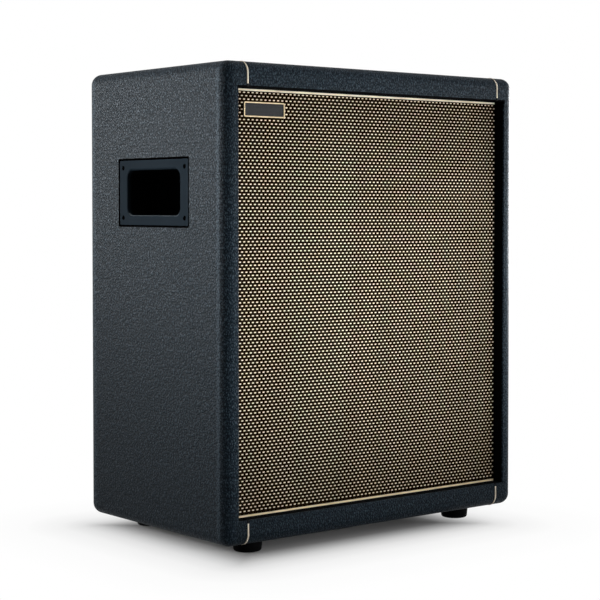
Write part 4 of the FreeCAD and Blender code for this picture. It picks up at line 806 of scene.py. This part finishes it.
def rounded_rectangle(half_x, half_z, radius):
    """Points round a rectangle with soft corners, anticlockwise."""
    points = []
    for corner, (across, up) in enumerate(((1, 1), (-1, 1), (-1, -1), (1, -1))):
        for step in range(CORNER_STEPS + 1):
            angle = math.pi / 2 * (corner + step / CORNER_STEPS)
            x = across * (half_x - radius) + radius * math.cos(angle)
            z = up * (half_z - radius) + radius * math.sin(angle)
            points.append((x, z))
    return points


def ring_faces(rings, count):
    """Faces between rings of as many points each, one ring after the other."""
    faces = []
    for low in range(0, (rings - 1) * count, count):
        high = low + count
        for index in range(count):
            following = (index + 1) % count
            faces.append((low + index, low + following, high + following, high + index))
    return faces


def lofted(outlines, centre_x, centre_z):
    """Points and faces of a skin through outlines (points, y), closed at its end."""
    count = len(outlines[0][0])
    points = []
    for outline, y in outlines:
        points += [(centre_x + x, y, centre_z + z) for x, z in outline]
    faces = ring_faces(len(outlines), count)
    faces.append(tuple(range(len(points) - count, len(points))))
    return points, faces


# Cloth of the grille


def cloth_ground(material):
    """The cloth itself: over the face of the frame, round its edges and turned in behind it."""
    half_x, half_z = CLOTH_HIGH.x, CLOTH_HALF_Z
    turned_in = rounded_rectangle(half_x - CLOTH_TURN, half_z - CLOTH_TURN, CLOTH_EDGE)
    outer = rounded_rectangle(half_x, half_z, CLOTH_EDGE)
    outlines = [(turned_in, CLOTH_HIGH.y), (outer, CLOTH_HIGH.y), (outer, CLOTH_LOW.y + CLOTH_EDGE)]
    for step in range(1, CLOTH_EDGE_STEPS + 1):
        angle = math.pi / 2 * step / CLOTH_EDGE_STEPS
        inset = CLOTH_EDGE * (1 - math.cos(angle))
        corner = max(CLOTH_EDGE - inset, CLOTH_LEAST_CORNER)
        ring = rounded_rectangle(half_x - inset, half_z - inset, corner)
        outlines.append((ring, CLOTH_LOW.y + CLOTH_EDGE * (1 - math.sin(angle))))
    points, faces = lofted(outlines, 0, CENTRE.z)
    made = new_piece("grille_cloth_ground", points, faces, material)
    wall = made.modifiers.new("thickness", "SOLIDIFY")
    wall.thickness = CLOTH_THICK
    wall.offset = -1
    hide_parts("grille_cloth")
    return made


def float_pad(length, width, rise):
    """One raised float as a small pillow on XZ, its crest towards -Y."""
    points = []
    for along in FLOAT_ALONG_SHARES:
        half = width / 2 * math.sqrt(1 - FLOAT_TAPER_SHARE * along**2)
        for across in FLOAT_ACROSS_SHARES:
            lift = (1 - across**2) * (1 - along**4)
            points.append((length / 2 * along, FLOAT_ROOT * (1 - lift) - rise * lift, half * across))
    count = len(FLOAT_ACROSS_SHARES)
    faces = []
    for step in range(len(FLOAT_ALONG_SHARES) - 1):
        for rib in range(count - 1):
            first = step * count + rib
            faces.append((first, first + count, first + count + 1, first + 1))
    return np.array(points), np.array(faces)


def strewn(name, pad, spots, material):
    """Many copies of one pad on the cloth, as one mesh."""
    points, faces = pad
    all_points = (points[None, :, :] + spots[:, None, :]).reshape(-1, 3)
    offsets = np.arange(len(spots)) * len(points)
    all_faces = (faces[None, :, :] + offsets[:, None, None]).reshape(-1, faces.shape[1])
    return new_piece(name, all_points.tolist(), all_faces.tolist(), material)


def lattice():
    """Where the floats sit: rows between the beads, every other row shifted by half a pitch."""
    half_x = CLOTH_HIGH.x - FLOAT_LENGTH / 2
    low = BEAD_BOTTOM[1].z + FLOAT_WIDTH / 2
    high = BEAD_TOP[0].z - FLOAT_WIDTH / 2
    rows = int((high - low) / 2 / ROW_PITCH) + 1
    columns = int(half_x / COLUMN_PITCH) + 1
    spots = []
    for row in range(-rows, rows + 1):
        z = CENTRE.z + PATTERN_SHIFT[1] + row * ROW_PITCH
        shift = PATTERN_SHIFT[0] + COLUMN_PITCH / 2 * (row % 2)
        for column in range(-columns, columns + 1):
            x = column * COLUMN_PITCH + shift
            if abs(x) <= half_x and low <= z <= high:
                spots.append((x, CLOTH_LOW.y, z))
    return np.array(spots)


def tie_spots(spots):
    """Where the rows of floats next to the beads are tied down, just inside the beads."""
    levels = spots[:, 2]
    edges = ((levels.max(), BEAD_TOP[0].z, 1), (levels.min(), BEAD_BOTTOM[1].z, -1))
    ties = []
    for level, bead, side in edges:
        for x, y, _ in spots[levels == level]:
            ties.append((x, y + FLOAT_RISE / 2, bead - side * ROW_PITCH / 4))
    return np.array(ties)


def cloth(material):
    """The grille's cloth: black ground, cream floats, and the ties that run under the beads."""
    ground = cloth_ground(material)
    yarn = float_look()
    spots = lattice()
    pad = float_pad(FLOAT_LENGTH, FLOAT_WIDTH, FLOAT_RISE)
    floats = strewn("grille_cloth_floats", pad, spots, yarn)
    points, faces = float_pad(ROW_PITCH / 2 * TIE_LENGTH_SHARE, TIE_WIDTH, FLOAT_RISE * TIE_RISE_SHARE)
    upright = (points[:, [2, 1, 0]], faces[:, ::-1])
    tied = strewn("grille_cloth_ties", upright, tie_spots(spots), yarn)


# Blank plate


def plate_outline(inset):
    half_x, half_z = PLATE_SIZE[0] / 2, PLATE_SIZE[1] / 2
    corner = PLATE_CORNER - min(inset, PLATE_CORNER * PLATE_CORNER_SHARE)
    return rounded_rectangle(half_x - inset, half_z - inset, corner)


def blank_plate(material):
    """A plain plate with a raised rim, where such a cabinet carries its plate."""
    back = CLOTH_LOW.y - PLATE_STANDOFF
    face = PLATE_FACE
    field = face + PLATE_SINK
    soft = PLATE_SOFT
    softer = soft * PLATE_SOFT_SHARE
    levels = (
        (PLATE_FOOT, back),
        (0, back - soft),
        (0, face + soft),
        (softer, face + softer),
        (soft, face),
        (PLATE_RIM - soft, face),
        (PLATE_RIM - softer, face + softer),
        (PLATE_RIM, face + soft),
        (PLATE_RIM + softer, field),
        (PLATE_RIM + 2 * soft, field),
    )
    outlines = [(plate_outline(inset), y) for inset, y in levels]
    points, faces = lofted(outlines, *PLATE_CENTRE)
    faces.append(tuple(reversed(range(len(outlines[0][0])))))
    made = new_piece("blank_plate", points, faces, material)
    crisp = made.modifiers.new("crisp", "WEIGHTED_NORMAL")
    crisp.keep_sharp = True


# Screws with a cross recess


def turned(profile):
    """Points and faces of a profile of (radius, height) turned about Z, closed at both ends."""
    points = []
    for radius, height in profile:
        for index in range(SCREW_SEGMENTS):
            angle = 2 * math.pi * index / SCREW_SEGMENTS
            points.append((radius * math.cos(angle), radius * math.sin(angle), height))
    faces = ring_faces(len(profile), SCREW_SEGMENTS)
    faces.append(tuple(range(len(points) - SCREW_SEGMENTS, len(points))))
    faces.append(tuple(reversed(range(SCREW_SEGMENTS))))
    return points, faces


def cross_bar(tool, radius, depth, turn):
    """Adds one tapered bar of the cross, wider at its top."""
    corners = []
    for shares, z in ((CROSS_TOP_SHARES, depth), (CROSS_LOW_SHARES, -depth)):
        for x, y in ((-1, -1), (1, -1), (1, 1), (-1, 1)):
            spot = Vector((x * radius * shares[0], y * radius * shares[1], z))
            spot.rotate(Matrix.Rotation(turn, 3, "Z"))
            corners.append(tool.verts.new(spot))
    top, low = corners[:4], corners[4:]
    tool.faces.new(top)
    tool.faces.new(low[::-1])
    for side in range(4):
        following = (side + 1) % 4
        tool.faces.new((top[side], low[side], low[following], top[following]))


def cross_cutter(radius, depth):
    """A tapered cross to sink into a screw head."""
    tool = bmesh.new()
    for turn in (0, math.pi / 2):
        cross_bar(tool, radius, depth, turn)
    mesh = bpy.data.meshes.new("cross_cutter")
    tool.to_mesh(mesh)
    tool.free()
    return linked("cross_cutter", mesh)


def crossed_head(profile, radius, rise):
    """A screw on +Z with a cross recess in its head, as points and faces."""
    points, faces = turned(profile)
    head = linked("head_blank", new_mesh("head_blank", points, [], faces))
    tool = cross_cutter(radius, radius * CROSS_DEPTH_SHARE)
    tool.location.z = rise
    sink = head.modifiers.new("recess", "BOOLEAN")
    sink.object = tool
    sink.operation = "DIFFERENCE"
    sink.solver = "EXACT"
    sink.use_self = True
    graph = bpy.context.evaluated_depsgraph_get()
    mesh = head.evaluated_get(graph).to_mesh()
    points = [vertex.co.copy() for vertex in mesh.vertices]
    faces = [tuple(face.vertices) for face in mesh.polygons]
    for made in (head, tool):
        bpy.data.objects.remove(made)
    return points, faces


def screw_boxes(node):
    """The lowest and highest corner of each screw of a node."""
    groups = []
    for vertex in nodes[node].data.vertices:
        for group in groups:
            if (vertex.co - group[0]).length < SCREW_REACH:
                group.append(vertex.co)
                break
        else:
            groups.append([vertex.co])
    return [(np.min(group, axis=0), np.max(group, axis=0)) for group in groups]


def dressed_screws(node, axis, profile, radius, rise, material):
    """Stands for a node's screws with heads that have a cross recess, turned each a little differently."""
    points, faces = crossed_head(profile, radius, rise)
    all_points, all_faces = [], []
    for index, (low, high) in enumerate(screw_boxes(node)):
        seat = Vector((low + high) / 2)
        sign = 1 if seat[axis] > 0 else -1
        seat[axis] = (high if sign > 0 else low)[axis] - sign * rise
        outward = Vector([sign if place == axis else 0 for place in range(3)])
        facing = outward.to_track_quat("Z", "Y").to_matrix()
        spin = Matrix.Rotation(math.radians(SCREW_TURN * index), 3, "Z")
        start = len(all_points)
        all_points += [seat + facing @ (spin @ point) for point in points]
        all_faces += [tuple(start + corner for corner in face) for face in faces]
    made = new_piece(f"{node}_dressed", all_points, all_faces, material, smooth=False)
    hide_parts(node)


def pan_profile(radius, rise, shank, length):
    """A domed head above z = 0 and a shank below it."""
    head = [(radius * across, rise * up) for across, up in PAN_SHARES]
    return [(shank, -length), (shank, 0)] + head


def sunk_profile(radius, shank, length):
    """A flat head whose face is at z = 0."""
    return [(shank, -length), (shank, shank - radius), (radius, -SUNK_RIM), (radius, 0)]


def screws(material):
    """The screws of the back and the jack dish face +Y, and those of the handles face outwards along X."""
    for node, (radius, rise, shank, length) in PAN_SCREWS.items():
        dressed_screws(node, Y_AXIS, pan_profile(radius, rise, shank, length), radius, rise, material)
    dressed_screws("handle_screws", X_AXIS, sunk_profile(*SUNK_SCREW), SUNK_SCREW[0], 0, material)


# Suspension of the cone


def half_section(node, centre):
    """The section of a turned sheet on +X from its axis: out along its front, back along its rear."""

    def radius(vertex):
        return math.hypot(vertex.co.x - centre.x, vertex.co.z - centre.z)

    rings = []
    for vertex in sorted(nodes[node].data.vertices, key=radius):
        if not rings or radius(vertex) - rings[-1][0] > RING_GAP:
            rings.append((radius(vertex), []))
        rings[-1][1].append(vertex.co.y)
    front = [(centre.x + across, min(levels), centre.z) for across, levels in rings]
    rear = [(centre.x + across, max(levels), centre.z) for across, levels in rings]
    return front + rear[::-1]


def bending_ring(node, axis, material):
    """A ring turned from its section, between its seat on the basket and what moves inside it."""
    low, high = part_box(node)
    centre = (low + high) / 2
    outline = half_section(node, centre)
    edges = [(index, (index + 1) % len(outline)) for index in range(len(outline))]
    made = free_piece(f"{node}_bending", outline, edges, [], material)
    turn = made.modifiers.new("turned", "SCREW")
    turn.object = axis
    turn.axis = "Y"
    turn.steps = RING_STEPS
    turn.render_steps = RING_STEPS
    turn.use_merge_vertices = True
    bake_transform(made)
    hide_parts(node)


def bending_braids(material):
    """The braided leads, held by their terminals at one end and by the cone at the other."""
    mesh = nodes["driver_braids"].data
    points = [vertex.co.copy() for vertex in mesh.vertices]
    faces = [tuple(face.vertices) for face in mesh.polygons]
    made = free_piece("driver_braids_bending", points, [], faces, material)
    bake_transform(made)
    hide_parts("driver_braids")


def suspension(looks):
    """The rings that hold the cone, turned about the driver's axis, and the braids."""
    low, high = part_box("driver_cone")
    axis = linked("driver_axis", None)
    axis.location = (low + high) / 2
    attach(axis, "cabinet")
    for node, (moving, free_share) in BENDING_RINGS.items():
        bending_ring(node, axis, looks["treated_cloth"])
    bending_braids(looks["copper"])


# Stage, light and camera


def seen_rays(tree):
    """One for camera, glossy and transmission rays, and zero for the rays that light things."""
    rays = tree.nodes.new("ShaderNodeLightPath").outputs
    total = rays["Is Camera Ray"]
    for name in ("Is Glossy Ray", "Is Transmission Ray"):
        both = tree.nodes.new("ShaderNodeMath")
        both.operation = "MAXIMUM"
        tree.links.new(total, both.inputs[0])
        tree.links.new(rays[name], both.inputs[1])
        total = both.outputs[0]
    return total


def shadow_distance(look):
    """How far a point of the floor lies outside the middle of the cabinet's shadow, negative inside it."""
    x, y, _ = look.axes()
    across = look.math("SUBTRACT", x, SHADOW_CENTRE[0])
    back = look.math("SUBTRACT", y, SHADOW_CENTRE[1])
    return outline_distance(look, across, back, CASE_HIGH.x - SHADOW_INSET, CASE_HIGH.y)


def floor_look():
    """Grey paint that takes the cabinet's real shadow, under a white glow for seen rays that grows away
    from a rectangle under the cabinet: a painted shadow edge.
    """
    look = Look("studio_floor", Base_Color=rgba(FLOOR_PAINT), Roughness=1.0, Specular_IOR_Level=0.0)
    stops = [(share, (white,) * 3) for share, white in FLOOR_WHITE_SHARES]
    white = look.ramp(look.span(shadow_distance(look), *FLOOR_REACH), *stops)
    glow = look.add("Emission", {"Strength": 1.0})
    seen = look.product(white, seen_rays(look.tree))
    mix = look.add("MixShader", {0: seen, 1: look.shader.outputs[0], 2: glow.outputs[0]})
    look.feed(look.tree.nodes["Material Output"].inputs[0], mix.outputs[0])
    return look.material


def stage():
    """A wide floor under the cabinet."""
    corners = [(x * FLOOR_HALF, y * FLOOR_HALF, 0) for x, y in ((-1, -1), (1, -1), (1, 1), (-1, 1))]
    mesh = new_mesh("floor", corners, [], [(0, 1, 2, 3)])
    mesh.materials.append(floor_look())
    floor = linked("floor", mesh)


def studio():
    """A white room to look at, which gives only a little light."""
    world = bpy.data.worlds.new("studio")
    bpy.context.scene.world = world
    world.use_nodes = True
    tree = world.node_tree
    back = tree.nodes["Background"]
    back.inputs["Color"].default_value = rgba(WHITE)
    level = tree.nodes.new("ShaderNodeMapRange")
    level.inputs["To Min"].default_value = AMBIENT
    level.inputs["To Max"].default_value = 1.0
    tree.links.new(seen_rays(tree), level.inputs["Value"])
    tree.links.new(level.outputs[0], back.inputs["Strength"])


def softbox(name, place, aim, size, spread, watts):
    """A rectangular softbox with a grid that narrows its beam."""
    lamp = bpy.data.lights.new(name, "AREA")
    lamp.shape = "RECTANGLE"
    lamp.size, lamp.size_y = size
    lamp.spread = math.radians(spread)
    lamp.energy = watts
    made = linked(name, lamp)
    made.location = place
    made.rotation_euler = (Vector(aim) - Vector(place)).to_track_quat("-Z", "Y").to_euler()
    made.visible_camera = False


def lights():
    for name, values in SOFTBOXES.items():
        softbox(name, *values)


def camera():
    """The camera that the photograph was taken with, as fitted to it."""
    lens = bpy.data.cameras.new("photo_camera")
    lens.lens = LENS
    lens.sensor_width = SENSOR
    lens.shift_x, lens.shift_y = SHIFT
    lens.clip_start, lens.clip_end = CLIP
    made = linked("photo_camera", lens)
    made.location = CAMERA_PLACE
    made.rotation_euler = (math.radians(90 - CAMERA_DOWN), 0, math.radians(-CAMERA_YAW))
    bpy.context.scene.camera = made


bpy.context.scene.view_settings.view_transform = "Standard"
looks = finishes()
dress_nodes(looks)
cloth(looks["grille_weave"])
blank_plate(plate_look())
screws(looks["black_screw"])
suspension(looks)
stage()
studio()
lights()
camera()
